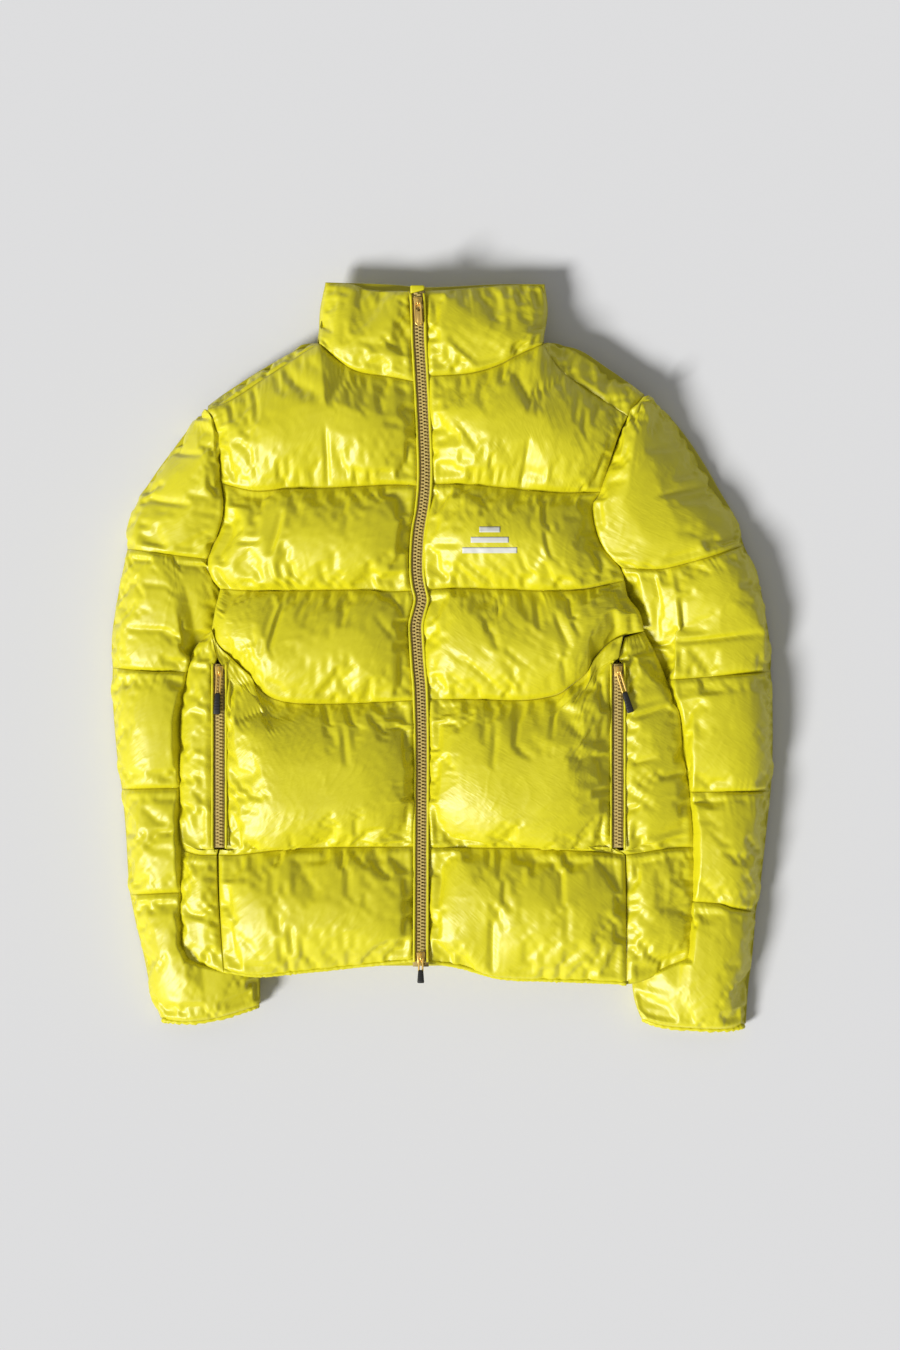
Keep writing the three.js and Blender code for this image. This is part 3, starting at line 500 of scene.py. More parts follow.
def inflate(chambers, frames=26):
    """Blows up all the chambers at once, each held along its seams, and keeps the result."""
    whole = bmesh.new()
    ranges = []
    for item in chambers:
        part = bpy.data.meshes.new("part")
        bm = item.grid(item.points)
        bm.to_mesh(part)
        bm.free()
        start = len(whole.verts)
        whole.from_mesh(part)
        whole.verts.ensure_lookup_table()
        ranges.append((start, len(whole.verts)))
        bpy.data.meshes.remove(part)
    whole.verts.index_update()
    held = [v.index for v in whole.verts if v.is_boundary]
    cloth_mesh = bpy.data.meshes.new("cloth")
    whole.to_mesh(cloth_mesh)
    whole.free()
    holder = bpy.data.objects.new("cloth", cloth_mesh)
    bpy.context.collection.objects.link(holder)
    group = holder.vertex_groups.new(name="seams")
    group.add(held, 1.0, "REPLACE")
    rest = np.array([v.co for v in cloth_mesh.vertices])
    modifier = holder.modifiers.new("cloth", "CLOTH")
    for setting, value in THIN_CLOTH.items():
        setattr(modifier.settings, setting, value)
    modifier.settings.effector_weights.gravity = 0
    modifier.collision_settings.use_collision = False
    modifier.collision_settings.use_self_collision = False
    modifier.point_cache.frame_start = 1
    modifier.point_cache.frame_end = frames + 1
    scene = bpy.context.scene
    for step in range(1, frames + 1):
        scene.frame_set(step)
    shaped = holder.evaluated_get(bpy.context.evaluated_depsgraph_get())
    moved = np.array([v.co for v in shaped.data.vertices])
    scene.frame_set(1)
    shift = moved - rest
    reach = np.linalg.norm(shift, axis=1)
    for item, (first, last) in zip(chambers, ranges):
        room = np.minimum(1, item.cap * MM / np.maximum(reach[first:last], 1e-9))
        shift[first:last] *= room[:, None]
    moved = rest + shift
    bpy.data.objects.remove(holder)
    bpy.data.meshes.remove(cloth_mesh)
    for item, (first, last) in zip(chambers, ranges):
        item.points = moved[first:last][item.order()] / MM


inflate(CHAMBERS)


# ---- folds and puckers


def ripple(seed, x, y):
    """Smooth random hills between about -1 and 1, one unit apart."""
    turns = np.random.RandomState(seed).uniform(0, 2 * math.pi, (64, 64))
    cell_x, cell_y = np.floor(x).astype(int), np.floor(y).astype(int)
    in_x, in_y = x - cell_x, y - cell_y

    def corner(i, j):
        turn = turns[(cell_y + j) % 64, (cell_x + i) % 64]
        return np.cos(turn) * (in_x - i) + np.sin(turn) * (in_y - j)

    ease_x = in_x**3 * (in_x * (6 * in_x - 15) + 10)
    ease_y = in_y**3 * (in_y * (6 * in_y - 15) + 10)
    near = corner(0, 0) * (1 - ease_x) + corner(1, 0) * ease_x
    far = corner(0, 1) * (1 - ease_x) + corner(1, 1) * ease_x
    return 1.7 * (near * (1 - ease_y) + far * ease_y)


def finer(points):
    """Twice as many cells each way, through the same points."""
    for axis in (0, 1):
        p = np.moveaxis(points, axis, 0)
        wide = np.concatenate([2 * p[:1] - p[1:2], p, 2 * p[-1:] - p[-2:-1]])
        middle = (9 * (wide[1:-2] + wide[2:-1]) - wide[:-3] - wide[3:]) / 16
        out = np.empty((2 * len(p) - 1, *p.shape[1:]))
        out[::2], out[1::2] = p, middle
        points = np.moveaxis(out, 0, axis)
    return points


def pucker(seed, along, away, reach):
    """Gathers that run off a seam: along is the place on the seam, away the distance from it."""
    slant = 0.35 * ripple(seed, along / 45, away * 0 + 0.4) + 0.25
    place = along + away * slant
    spread = np.clip(1 + 0.7 * ripple(seed + 1, place / 20, away * 0 + 0.4), 0.35, 2)
    fade = np.exp(-away / (reach * spread))
    fade *= 1 - np.exp(-away / 2.2)
    fine = ripple(seed + 2, place / 3.3, away / 45)
    middling = ripple(seed + 7, place / 5.6, away / 70)
    broad = ripple(seed + 3, place / 12, away / 90)
    patchy = 0.8 + 0.6 * ripple(seed + 4, along / 30, away / 40)
    return fade * patchy * (0.75 * fine + 0.75 * middling + 0.6 * broad)


def creases(seed, x, y, angle, width, long):
    """Long narrow folds that lie at an angle over the pad."""
    c, s = math.cos(angle), math.sin(angle)
    across_fold, along_fold = -x * s + y * c, x * c + y * s
    bend = 6 * ripple(seed + 5, along_fold / 40, across_fold / 60)
    line = ripple(seed, (across_fold + bend) / width, along_fold / long)
    sharp = np.clip(1 - 3.2 * abs(line), 0, 1) ** 2
    gate = np.clip(0.2 + 1.3 * ripple(seed + 6, x / 38, y / 38), 0, 1)
    return sharp * gate


CREASES = (  # weight, place in the draws, angle in degrees, width and length in mm
    (1.0, 80, 38, 21, 70), (0.8, 90, 58, 17, 60), (0.5, 100, -50, 26, 60),
    (0.45, 130, 46, 8.5, 42), (0.35, 140, 72, 7.5, 34),
)


def wrinkle(item):
    """Folds and puckers over a chamber, finer than the cloth's own cells."""
    points = item.points
    for _ in range(FINE_STEPS):
        points = finer(points)
    press_flat(item, points)
    rows, columns = points.shape[:2]
    step = CELL / 2**FINE_STEPS
    across_mm = np.arange(columns)[None, :] * step + np.zeros((rows, 1))
    down_mm = np.arange(rows)[:, None] * step + np.zeros((1, columns))
    right = across_mm[:, ::-1]
    up = down_mm[::-1]
    edge = np.minimum(np.minimum(across_mm, right), np.minimum(down_mm, up))
    du = np.gradient(points, axis=1)
    dv = np.gradient(points, axis=0)
    normal = np.cross(du, dv)
    normal *= np.sign(normal[:, :, 2].mean() or 1)
    normal /= np.maximum(np.linalg.norm(normal, axis=2, keepdims=True), 1e-9)
    seed = sum(ord(letter) * (i + 3) for i, letter in enumerate(item.name)) % 9973
    lift = 0.82 * pucker(seed, across_mm, down_mm, 17)
    lift += 0.65 * pucker(seed + 20, across_mm, up, 12)
    for offset, away in ((40, across_mm), (60, right)):
        lift += 0.62 * pucker(seed + offset, down_mm, away, 12)
    x, y = points[:, :, 0], points[:, :, 1]
    painted_shade = np.clip(edge / 9, 0, 1)
    fold = sum(weight * creases(seed + offset, x, y, math.radians(angle), width, long)
               for weight, offset, angle, width, long in CREASES)
    soft = ripple(seed + 110, x / 34, y / 30) + 0.35 * ripple(seed + 120, x / 13, y / 15)
    lift += painted_shade * (0.5 * fold + 0.24 * soft)
    edge_fade = np.clip(edge / 2, 0, 1)
    points = points + normal * (lift * edge_fade)[:, :, None]
    press_flat(item, points, 9, 2.5)
    lowest = 0.6 if item.turned is None else -99
    highest = 99 if item.turned is None else item.turned - 0.5
    points[:, :, 2] = np.clip(points[:, :, 2], lowest, highest)
    return points, np.stack([across_mm, down_mm, edge], 2)


def press_flat(item, points, ease=8, slope=2.4):
    """Where another pad lies on this one, it can't rise."""
    if item.press is None:
        return
    x, y = points[:, :, 0], points[:, :, 1]
    if "line" in item.press:
        limit = 2 + np.clip(x - item.press["line"], 0, None) * item.press["slope"]
        points[:, :, 2] = np.minimum(points[:, :, 2], limit)
        return
    side = np.array(item.press["side"])
    ys = side[::-1, 1]
    edge_x = np.interp(y, ys, side[::-1, 0])
    sign = item.press["sign"]
    outside = (x - edge_x) * sign
    foot = np.array(sorted(item.press["foot"]))
    outside = np.maximum(outside, np.interp(x, foot[:, 0], foot[:, 1]) - y)
    outside = np.where(y > side[0, 1], np.maximum(outside, (y - side[0, 1]) * 1.6), outside)
    limit = TUCK_TOP - 1 + np.clip(outside + ease, 0, None) * slope
    points[:, :, 2] = np.minimum(points[:, :, 2], limit)


# ---- materials


def material(name):
    """A new material, with its nodes, links and Principled shader."""
    made = bpy.data.materials.new(name)
    made.use_nodes = True
    nodes, links = made.node_tree.nodes, made.node_tree.links
    return made, nodes, links, nodes["Principled BSDF"]


def math_node(nodes, links, operation, *values):
    """One step of arithmetic between sockets and numbers."""
    node = nodes.new("ShaderNodeMath")
    node.operation = operation
    for socket, value in zip(node.inputs, values):
        if isinstance(value, (int, float)):
            socket.default_value = value
        else:
            links.new(value, socket)
    return node.outputs[0]


def set_inputs(node, values):
    """Sets constants on a node's own sockets."""
    for label, value in values.items():
        node.inputs[label].default_value = value


def node_group(name, place, values, results):
    """An empty shared group: a vector input, named numbers and named results."""
    group = bpy.data.node_groups.new(name, "ShaderNodeTree")
    group.interface.new_socket(place, in_out="INPUT", socket_type="NodeSocketVector")
    for label, value in values.items():
        socket = group.interface.new_socket(label, in_out="INPUT", socket_type="NodeSocketFloat")
        socket.default_value = value
    for label in results:
        group.interface.new_socket(label, in_out="OUTPUT", socket_type="NodeSocketFloat")
    start = group.nodes.new("NodeGroupInput")
    end = group.nodes.new("NodeGroupOutput")
    return group, group.nodes, group.links, start, end


def ramp(nodes, links, value, limits):
    """A value carried from one range to another."""
    node = nodes.new("ShaderNodeMapRange")
    set_inputs(node, limits)
    links.new(value, node.inputs["Value"])
    return node.outputs["Result"]


def noise_node(nodes, links, place, scale, detail):
    """Soft noise; the scale is a number or a socket."""
    node = nodes.new("ShaderNodeTexNoise")
    node.inputs["Detail"].default_value = detail
    links.new(place, node.inputs["Vector"])
    if isinstance(scale, (int, float)):
        node.inputs["Scale"].default_value = scale
    else:
        links.new(scale, node.inputs["Scale"])
    return node


def fine_crinkle():
    """Height of the thin cloth's small crinkles, with the plain weave's grid over it."""
    values = {"Crinkle Size": 5.0, "Slant": 0.7, "Weave": 0.03}
    group, nodes, links, start, end = node_group("fine_crinkle", "Cloth", values, ("Height", "Mottle"))
    turn = nodes.new("ShaderNodeVectorRotate")
    turn.rotation_type = "Z_AXIS"
    links.new(start.outputs["Cloth"], turn.inputs["Vector"])
    links.new(start.outputs["Slant"], turn.inputs["Angle"])
    stretch = nodes.new("ShaderNodeVectorMath")
    stretch.operation = "MULTIPLY"
    stretch.inputs[1].default_value = (0.22, 1.0, 0.0)
    links.new(turn.outputs[0], stretch.inputs[0])
    shrink = math_node(nodes, links, "DIVIDE", 1.0, start.outputs["Crinkle Size"])
    folds = noise_node(nodes, links, stretch.outputs[0], shrink, 3)
    folds.inputs["Roughness"].default_value = 0.55
    centred = math_node(nodes, links, "SUBTRACT", folds.outputs["Fac"], 0.5)
    ridge = math_node(nodes, links, "ABSOLUTE", centred)
    weave = nodes.new("ShaderNodeTexBrick")
    set_inputs(weave, {"Scale": 1.0, "Brick Width": 0.9, "Row Height": 0.9, "Mortar Size": 0.12})
    weave.offset = 0.0
    links.new(start.outputs["Cloth"], weave.inputs["Vector"])
    woven = math_node(nodes, links, "MULTIPLY", weave.outputs["Fac"], start.outputs["Weave"])
    height = math_node(nodes, links, "ADD", math_node(nodes, links, "MULTIPLY", ridge, 2.0), woven)
    links.new(height, end.inputs["Height"])
    clumps = noise_node(nodes, links, start.outputs["Cloth"], 0.035, 4)
    links.new(clumps.outputs["Fac"], end.inputs["Mottle"])
    return group


CRINKLE = fine_crinkle()


def bumped(nodes, links, shader, height, strength, distance):
    """Bump from a height, in the material itself."""
    relief = nodes.new("ShaderNodeBump")
    set_inputs(relief, {"Strength": strength, "Distance": distance})
    links.new(height, relief.inputs["Height"])
    links.new(relief.outputs["Normal"], shader.inputs["Normal"])


def nylon(name, colour, seam_shade_and_mottle, bump=0.3):
    """Thin glossy nylon over down: darker in random patches where the down clumps, and with painted
    shade in the seams, darker within a few millimetres of each seam.
    """
    made, nodes, links, shader = material(name)
    cloth = nodes.new("ShaderNodeAttribute")
    cloth.attribute_name = "cloth"
    crinkle = nodes.new("ShaderNodeGroup")
    crinkle.node_tree = CRINKLE
    links.new(cloth.outputs["Vector"], crinkle.inputs["Cloth"])
    split = nodes.new("ShaderNodeSeparateXYZ")
    links.new(cloth.outputs["Vector"], split.inputs[0])
    # Painted shade: the colour runs to the darker colour within 2.6 mm of a chamber's seams.
    seam = ramp(nodes, links, split.outputs["Z"], {"From Min": 0.0, "From Max": 2.6})
    mottle = ramp(nodes, links, crinkle.outputs["Mottle"],
                  {"From Min": 0.3, "From Max": 0.7, "To Min": 0.55, "To Max": 1.0})
    share = math_node(nodes, links, "MULTIPLY", seam, mottle)
    mix = nodes.new("ShaderNodeMix")
    mix.data_type = "RGBA"
    set_inputs(mix, {"A": (*seam_shade_and_mottle, 1), "B": (*colour, 1)})
    links.new(share, mix.inputs["Factor"])
    links.new(mix.outputs["Result"], shader.inputs["Base Color"])
    bumped(nodes, links, shader, crinkle.outputs["Height"], bump, 0.0009)
    set_inputs(shader, {"Roughness": 0.43, "Specular IOR Level": 0.72, "Sheen Weight": 0.12,
                        "Sheen Roughness": 0.45, "Sheen Tint": (1.0, 0.97, 0.40, 1)})
    return made


# The second colour is painted seam shade, also used for the darker patches of down.
NYLON = nylon("lime_nylon", (0.70, 0.64, 0.004), (0.56, 0.50, 0.002))


# ---- finished chambers


def place_object(name, bm, finish):
    """Makes the bmesh an object of this name and finish."""
    mesh = bpy.data.meshes.new(name)
    bm.to_mesh(mesh)
    bm.free()
    mesh.materials.append(finish)
    obj = bpy.data.objects.new(name, mesh)
    bpy.context.collection.objects.link(obj)
    return obj


def close_pad(item, bm):
    """Gives the sheet of cloth its hidden underside, so that the pad is a closed body."""
    edges = [e for e in bm.edges if e.is_boundary]
    centre = Vector(item.points.reshape(-1, 3).mean(0)) * MM
    floor = item.floor * MM
    lowest = 0.5 * MM
    wall = bmesh.ops.extrude_edge_only(bm, edges=edges)["geom"]
    for vertex in (g for g in wall if isinstance(g, bmesh.types.BMVert)):
        vertex.co.z = max(min(vertex.co.z - 1.5 * MM, floor + 2 * MM), lowest)
        inward = Vector((centre.x - vertex.co.x, centre.y - vertex.co.y, 0))
        vertex.co += inward.normalized() * 1.2 * MM
    rim = [g for g in wall if isinstance(g, bmesh.types.BMEdge) and g.is_boundary]
    bmesh.ops.contextual_create(bm, geom=rim)
    if item.turned is not None:
        for vertex in bm.verts:
            vertex.co.z = item.turned * MM - vertex.co.z
    bmesh.ops.recalc_face_normals(bm, faces=bm.faces)
    for face in bm.faces:
        face.smooth = True


def finish_chamber(item):
    """The chamber's cloth with its folds, as a closed pad on its body."""
    points, cloth = wrinkle(item)
    bm = item.grid(points)
    layer = bm.verts.layers.float_vector.new("cloth")
    flat = cloth[::-1].reshape(-1, 3)
    for vertex, place in zip(bm.verts, flat):
        vertex[layer] = place
    close_pad(item, bm)
    obj = place_object(f"{item.name}_pad", bm, NYLON)
    if "shoulder" in item.name:
        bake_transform(obj)
    else:
        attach(obj, item.body)
    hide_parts(*item.nodes)
    return obj


PADS = {item.name: finish_chamber(item) for item in CHAMBERS}


# ---- plain finishes


def uneven_gloss():
    """A gloss that varies a little over the surface, and the grain's own height."""
    values = {"Grain": 900.0, "Roughness": 0.5, "Spread": 0.08}
    group, nodes, links, start, end = node_group("uneven_gloss", "Place", values, ("Gloss", "Height"))
    grain = noise_node(nodes, links, start.outputs["Place"], start.outputs["Grain"], 3)
    around = math_node(nodes, links, "MULTIPLY_ADD", grain.outputs["Fac"], 2.0, -1.0)
    uneven = math_node(nodes, links, "MULTIPLY", around, start.outputs["Spread"])
    gloss = math_node(nodes, links, "ADD", start.outputs["Roughness"], uneven)
    links.new(gloss, end.inputs["Gloss"])
    links.new(grain.outputs["Fac"], end.inputs["Height"])
    return group


UNEVEN = uneven_gloss()


def plain(name, colour, roughness, metallic=0.0, bump=0.0, grain=900.0, coat=0.0):
    """A finish with a little unevenness in its gloss and surface."""
    made, nodes, links, shader = material(name)
    place = nodes.new("ShaderNodeTexCoord")
    uneven = nodes.new("ShaderNodeGroup")
    uneven.node_tree = UNEVEN
    set_inputs(uneven, {"Grain": grain, "Roughness": roughness})
    links.new(place.outputs["Object"], uneven.inputs["Place"])
    links.new(uneven.outputs["Gloss"], shader.inputs["Roughness"])
    set_inputs(shader, {"Base Color": (*colour, 1), "Metallic": metallic, "Coat Weight": coat})
    if bump:
        bumped(nodes, links, shader, uneven.outputs["Height"], bump, 0.0003)
    return made


FOLD = plain("lime_fold", (0.68, 0.62, 0.006), 0.48, bump=0.5, grain=420)
TEETH = plain("tan_teeth", (0.56, 0.42, 0.14), 0.34, coat=0.2)
TAPE = plain("tan_tape", (0.40, 0.30, 0.10), 0.75, bump=0.6, grain=1500)
BRASS = plain("light_brass", (0.95, 0.64, 0.17), 0.33, metallic=0.72, bump=0.1)
RUBBER = plain("black_rubber", (0.012, 0.012, 0.010), 0.55, bump=0.3)
# Dark lining: the pocket bags' own colour, and painted shade in the mouths of the sleeves.
LINING_AND_SHADE = plain("dark_lining", (0.045, 0.043, 0.02), 0.8, bump=0.4)
PRINT = plain("light_print", (0.66, 0.66, 0.60), 0.55)


def put(bm, name, finish, body, nodes=(), smooth=True):
    """Turns a bmesh, worked in millimetres, into a finished piece on its body."""
    bmesh.ops.recalc_face_normals(bm, faces=bm.faces)
    bmesh.ops.scale(bm, vec=(MM, MM, MM), verts=bm.verts)
    for face in bm.faces:
        face.smooth = smooth
    obj = place_object(name, bm, finish)
    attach(obj, body)
    if nodes:
        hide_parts(*nodes)
    return obj


def soften(bm, edges, offset, segments, clamp=False):
    """Rounds these edges."""
    bmesh.ops.bevel(bm, geom=list(edges), offset=offset, segments=segments, affect="EDGES",
                    profile=0.5, material=-1, clamp_overlap=clamp)


def rounded(bm, verts, offset, segments=2):
    """Rounds every edge that meets these points."""
    soften(bm, {e for v in verts for e in v.link_edges}, offset, segments, clamp=True)


def turn_all(bm, centre, turn):
    """Turns everything made so far about the vertical."""
    bmesh.ops.rotate(bm, cent=centre, matrix=Matrix.Rotation(turn, 3, "Z"), verts=bm.verts)


def brick(bm, centre, size, turn=0.0, offset=0.0, segments=2):
    """A block with rounded edges, turned about the vertical."""
    place = Matrix.Translation(centre) @ Matrix.Rotation(turn, 4, "Z") @ Matrix.Diagonal((*size, 1))
    verts = bmesh.ops.create_cube(bm, size=1, matrix=place)["verts"]
    if offset:
        rounded(bm, verts, offset, segments)
    return verts


def sweep(bm, points, radius, sides=8, closed=False, gathers=0.0, seed=1):
    """A round bar along the points."""
    points = [Vector(p) for p in points]
    count = len(points)
    rings = []
    for i, point in enumerate(points):
        before = points[i - 1] if closed or i else point
        after = points[(i + 1) % count] if closed or i < count - 1 else point
        along = (after - before).normalized()
        up = Vector((0, 0, 1)) if abs(along.z) < 0.9 else Vector((0, 1, 0))
        aside = along.cross(up).normalized()
        up = aside.cross(along)
        turn = Matrix((aside, up, along)).transposed().to_4x4()
        swell = 1 + gathers * noise.noise(Vector((i * 1.7, seed, 0)))
        cap = not closed and i in (0, count - 1)
        verts = bmesh.ops.create_circle(bm, cap_ends=cap, segments=sides, radius=radius * swell,
                                        matrix=Matrix.Translation(point) @ turn)["verts"]
        rings.append({e for v in verts for e in v.link_edges if e.other_vert(v) in verts})
    pairs = list(zip(rings, rings[1:]))
    if closed:
        pairs.append((rings[-1], rings[0]))
    for a, b in pairs:
        bmesh.ops.bridge_loops(bm, edges=list(a | b))


# ---- zips

PITCH = 3.6  # from one tooth of a row to the next
TOOTH = (4.4, 2.2, 3.0)  # length, width and height
TOOTH_OUT = 1.55  # from the middle of the zip to a tooth's centre
PLATE = 1.6  # thickness of a slider's plates
CHEST_ZIP = 62  # a slider that reaches over this height has a raised bail
TEETH_TOP = (-26.0, 388)
POCKET_TAPE_HALF = 6.8
FOLD_HEIGHT = 58.2  # of the narrow folds beside the zips
PULL_TURN = {"left": 17, "right": -3}  # how far a pocket's pull hangs askew, degrees


def teeth_row(path, sign, name, nodes):
    """One row of moulded teeth along a zip, each turned to follow it."""
    line = resample(path, 600)
    along = np.concatenate([[0], np.cumsum(np.linalg.norm(np.diff(line, axis=0), axis=1))])
    bm = bmesh.new()
    place = PITCH * (0.5 if sign > 0 else 1.0)
    while place < along[-1] - 1:
        x, y = (float(np.interp(place, along, line[:, k])) for k in (0, 1))
        ahead = [float(np.interp(place + 1, along, line[:, k])) for k in (0, 1)]
        heading = Vector((ahead[0] - x, ahead[1] - y, 0)).normalized()
        aside = Vector((heading.y, -heading.x, 0))
        turn = math.atan2(aside.y, aside.x)
        centre = Vector((x, y, TAPE_Z)) + aside * sign * TOOTH_OUT
        brick(bm, centre, TOOTH, turn)
        place += PITCH
    soften(bm, bm.edges, 0.55, 1)
    put(bm, name, TEETH, "jacket_body", nodes, smooth=False)


def tape_strip(path, near, far, name, nodes):
    """One side's tape, between two distances from the middle of the zip."""
    line = resample(path, 90)
    bm = bmesh.new()
    bmesh.ops.create_grid(bm, x_segments=3, y_segments=89, size=1)
    for vertex in bm.verts:
        i = min(89, round((vertex.co.y + 1) / 2 * 89))
        share = (vertex.co.x + 1) / 2
        step = line[min(i + 1, 89)] - line[max(i - 1, 0)]
        aside = Vector((step[1], -step[0], 0)).normalized()
        if aside.x < 0:
            aside.negate()
        away = near + (far - near) * share
        vertex.co = Vector((line[i][0], line[i][1], TAPE_Z - 0.3)) + aside * away
    bmesh.ops.solidify(bm, geom=bm.faces, thickness=0.6)
    put(bm, name, TAPE, "jacket_body", nodes)


def welt(points, radius, seed, name):
    """A narrow fold of cloth beside a zip."""
    bm = bmesh.new()
    sweep(bm, points, radius, gathers=0.4, seed=seed)
    put(bm, name, FOLD, "jacket_body")


def make_slider(name, box, place, turn=0.0):
    """The slider: two plates joined by a wedge, with a bail over the top for the pull."""
    low, high = box
    x, y = place
    wide, long = high.x - low.x, high.y - low.y
    bm = bmesh.new()
    bail = 3.6 if high.z > CHEST_ZIP else 0
    for level in (high.z - bail - PLATE / 2, low.z + PLATE / 2):
        verts = brick(bm, (x, y, level), (wide, long, PLATE))
        for vertex in verts:
            if vertex.co.y < y:
                vertex.co.x = x + (vertex.co.x - x) * 0.78
    soften(bm, bm.edges, 0.75, 3)
    brick(bm, (x, y + long * 0.36, TAPE_Z), (2.2, 2.4, 6.0), offset=0.4)
    hoop = [(x, y + long * 0.34 * math.cos(a), high.z - bail + bail * math.sin(a) - 0.6)
            for a in np.linspace(0.1, math.pi - 0.1, 11)]
    sweep(bm, hoop, 0.85)
    turn_all(bm, (x, y, 0), turn)
    put(bm, f"{name}_slider_body_metal", BRASS, f"{name}_slider_body", [f"{name}_slider"])


def stadium(x, z, top, bottom, half, count=10):
    """The outline of a wire pull, lying flat."""
    turns = np.linspace(0, math.pi, count)
    upper = [(x + half * math.cos(a), top - half + half * math.sin(a), z) for a in turns]
    lower = [(x - half * math.cos(a), bottom + half - half * math.sin(a), z) for a in turns]
    sides = [(x - half, top - half + (bottom - top + 2 * half) * k / 4, z) for k in (1, 2, 3)]
    back = [(x + half, y, z) for _, y, z in reversed(sides)]
    return upper + sides + lower + back


def make_pull(name, x, pivot_y, turn, plate):
    """A wire pull, with a plate let into it or a ribbed rubber grip over its end."""
    low, high = box_mm(f"{name}_pull")
    z = (low.z + high.z) / 2
    half = (high.x - low.x) / 2 - 0.8
    bm = bmesh.new()
    sweep(bm, stadium(x, z, high.y - 0.6, low.y + 0.8, half), 1.0, closed=True)
    if plate:
        long = high.y - low.y
        centre = (x, low.y + long * 0.33, z)
        brick(bm, centre, (2 * half, long * 0.52, 1.1), offset=0.4)
        brick(bm, centre, (half, long * 0.34, 1.7), offset=0.5)
    around = (x, pivot_y, 0)
    turn_all(bm, around, turn)
    body = f"{name}_puller"
    put(bm, f"{name}_pull_wire", BRASS, body, [f"{name}_pull"])
    if plate:
        return
    low, high = box_mm(f"{name}_grip")
    size = high - low
    centre = Vector((x, (low.y + high.y) / 2, (low.z + high.z) / 2))
    bm = bmesh.new()
    verts = brick(bm, centre, (size.x, size.y, size.z * 0.86))
    for vertex in verts:
        if vertex.co.y > centre.y:
            vertex.co.x = x + (vertex.co.x - x) * 0.72
    rounded(bm, verts, 1.5, 3)
    for k in range(4):
        y = low.y + size.y * (0.22 + 0.13 * k)
        brick(bm, (x, y, centre.z), (size.x * (0.86 - 0.04 * k), 1.1, size.z * 0.98), offset=0.45)
    turn_all(bm, around, turn)
    put(bm, f"{name}_pull_grip", RUBBER, body, [f"{name}_grip"])


def make_main_zip():
    """The front zip, from the hem to the collar's top, with a fold of cloth along each side."""
    path = [(x, y) for x, y in ZIP_PATH if y < TEETH_TOP[1]] + [TEETH_TOP]
    for side, sign in (("right", -1), ("left", 1)):
        teeth_row(path, sign, f"main_teeth_{side}", [f"zip_teeth_{side}"])
        tape_strip(path, sign * 2.4, sign * (ZIP_HALF + 1.6), f"main_tape_{side}", [f"zip_tape_{side}"])
        ys = np.linspace(386, -327, 150)
        edge = [(zip_x(y) + sign * (ZIP_HALF + 0.2), y, FOLD_HEIGHT) for y in ys]
        welt(edge, 1.35, 3 + sign, f"front_fold_{side}")
    for name, plate in (("zip_top", True), ("zip_hem", False)):
        box = box_mm(f"{name}_slider")
        y = (box[0].y + box[1].y) / 2
        x = zip_x(y)
        slope = (zip_x(y + 8) - zip_x(y - 8)) / 16
        turn = -math.atan(slope) if plate else 0.0
        make_slider(name, box, (x, y), turn)
        make_pull(name, x, y, turn, plate)


def make_garage():
    """The folded flap at the top of the zip that the slider parks under, cut on a slant."""
    low, high = box_mm("zip_garage")
    size = high - low
    x = zip_x(high.y) + 0.5
    bm = bmesh.new()
    verts = brick(bm, (x, (low.y + high.y) / 2, high.z - 2.2), (size.x * 0.92, size.y, 4.2))
    for vertex in verts:
        if vertex.co.y < (low.y + high.y) / 2 and vertex.co.x > x:
            vertex.co.y += size.y * 0.45
    rounded(bm, verts, 1.7, 3)
    put(bm, "zip_garage_fold", FOLD, "jacket_body", ["zip_garage"])


def make_pocket_zip(side, sign):
    """A straight pocket zip between its two welts, and the lining bag behind it."""
    low, high = box_mm(f"pocket_{side}_tape")
    x = (low.x + high.x) / 2
    path = [(x, low.y), (x, high.y)]
    for row, way in (("outer", sign), ("inner", -sign)):
        teeth_row(path, way, f"pocket_{side}_{row}_row", [f"pocket_{side}_teeth_{row}"])
    tape_strip(path, -POCKET_TAPE_HALF, POCKET_TAPE_HALF, f"pocket_{side}_tape_strip",
               [f"pocket_{side}_tape"])
    for edge in (-1, 1):
        ys = np.linspace(low.y - 1, high.y + 1, 50)
        line = [(x + edge * (POCKET_TAPE_HALF + 0.5), y, FOLD_HEIGHT + 0.2) for y in ys]
        welt(line, 1.25, 20 + edge, f"pocket_{side}_welt_{'right' if edge < 0 else 'left'}")
    name = f"pocket_{side}"
    box = box_mm(f"{name}_slider")
    y = (box[0].y + box[1].y) / 2
    make_slider(name, box, (x, y))
    make_pull(name, x, y, math.radians(PULL_TURN[side]), False)
    low, high = box_mm(f"{name}_bag")
    bm = bmesh.new()
    brick(bm, (low + high) / 2, high - low, offset=0.8)
    bag = put(bm, f"{name}_bag_cloth", LINING_AND_SHADE, "jacket_body", [f"{name}_bag"])


make_main_zip()
make_pocket_zip("right", -1)
make_pocket_zip("left", 1)
make_garage()


# ---- cuffs, hem edge and print

CUFF_RADIUS = 2.5
BARS = ((22, 80, 108, 114), (31, 71, 119, 125), (40, 62, 130, 136))  # left, right, low and high edge


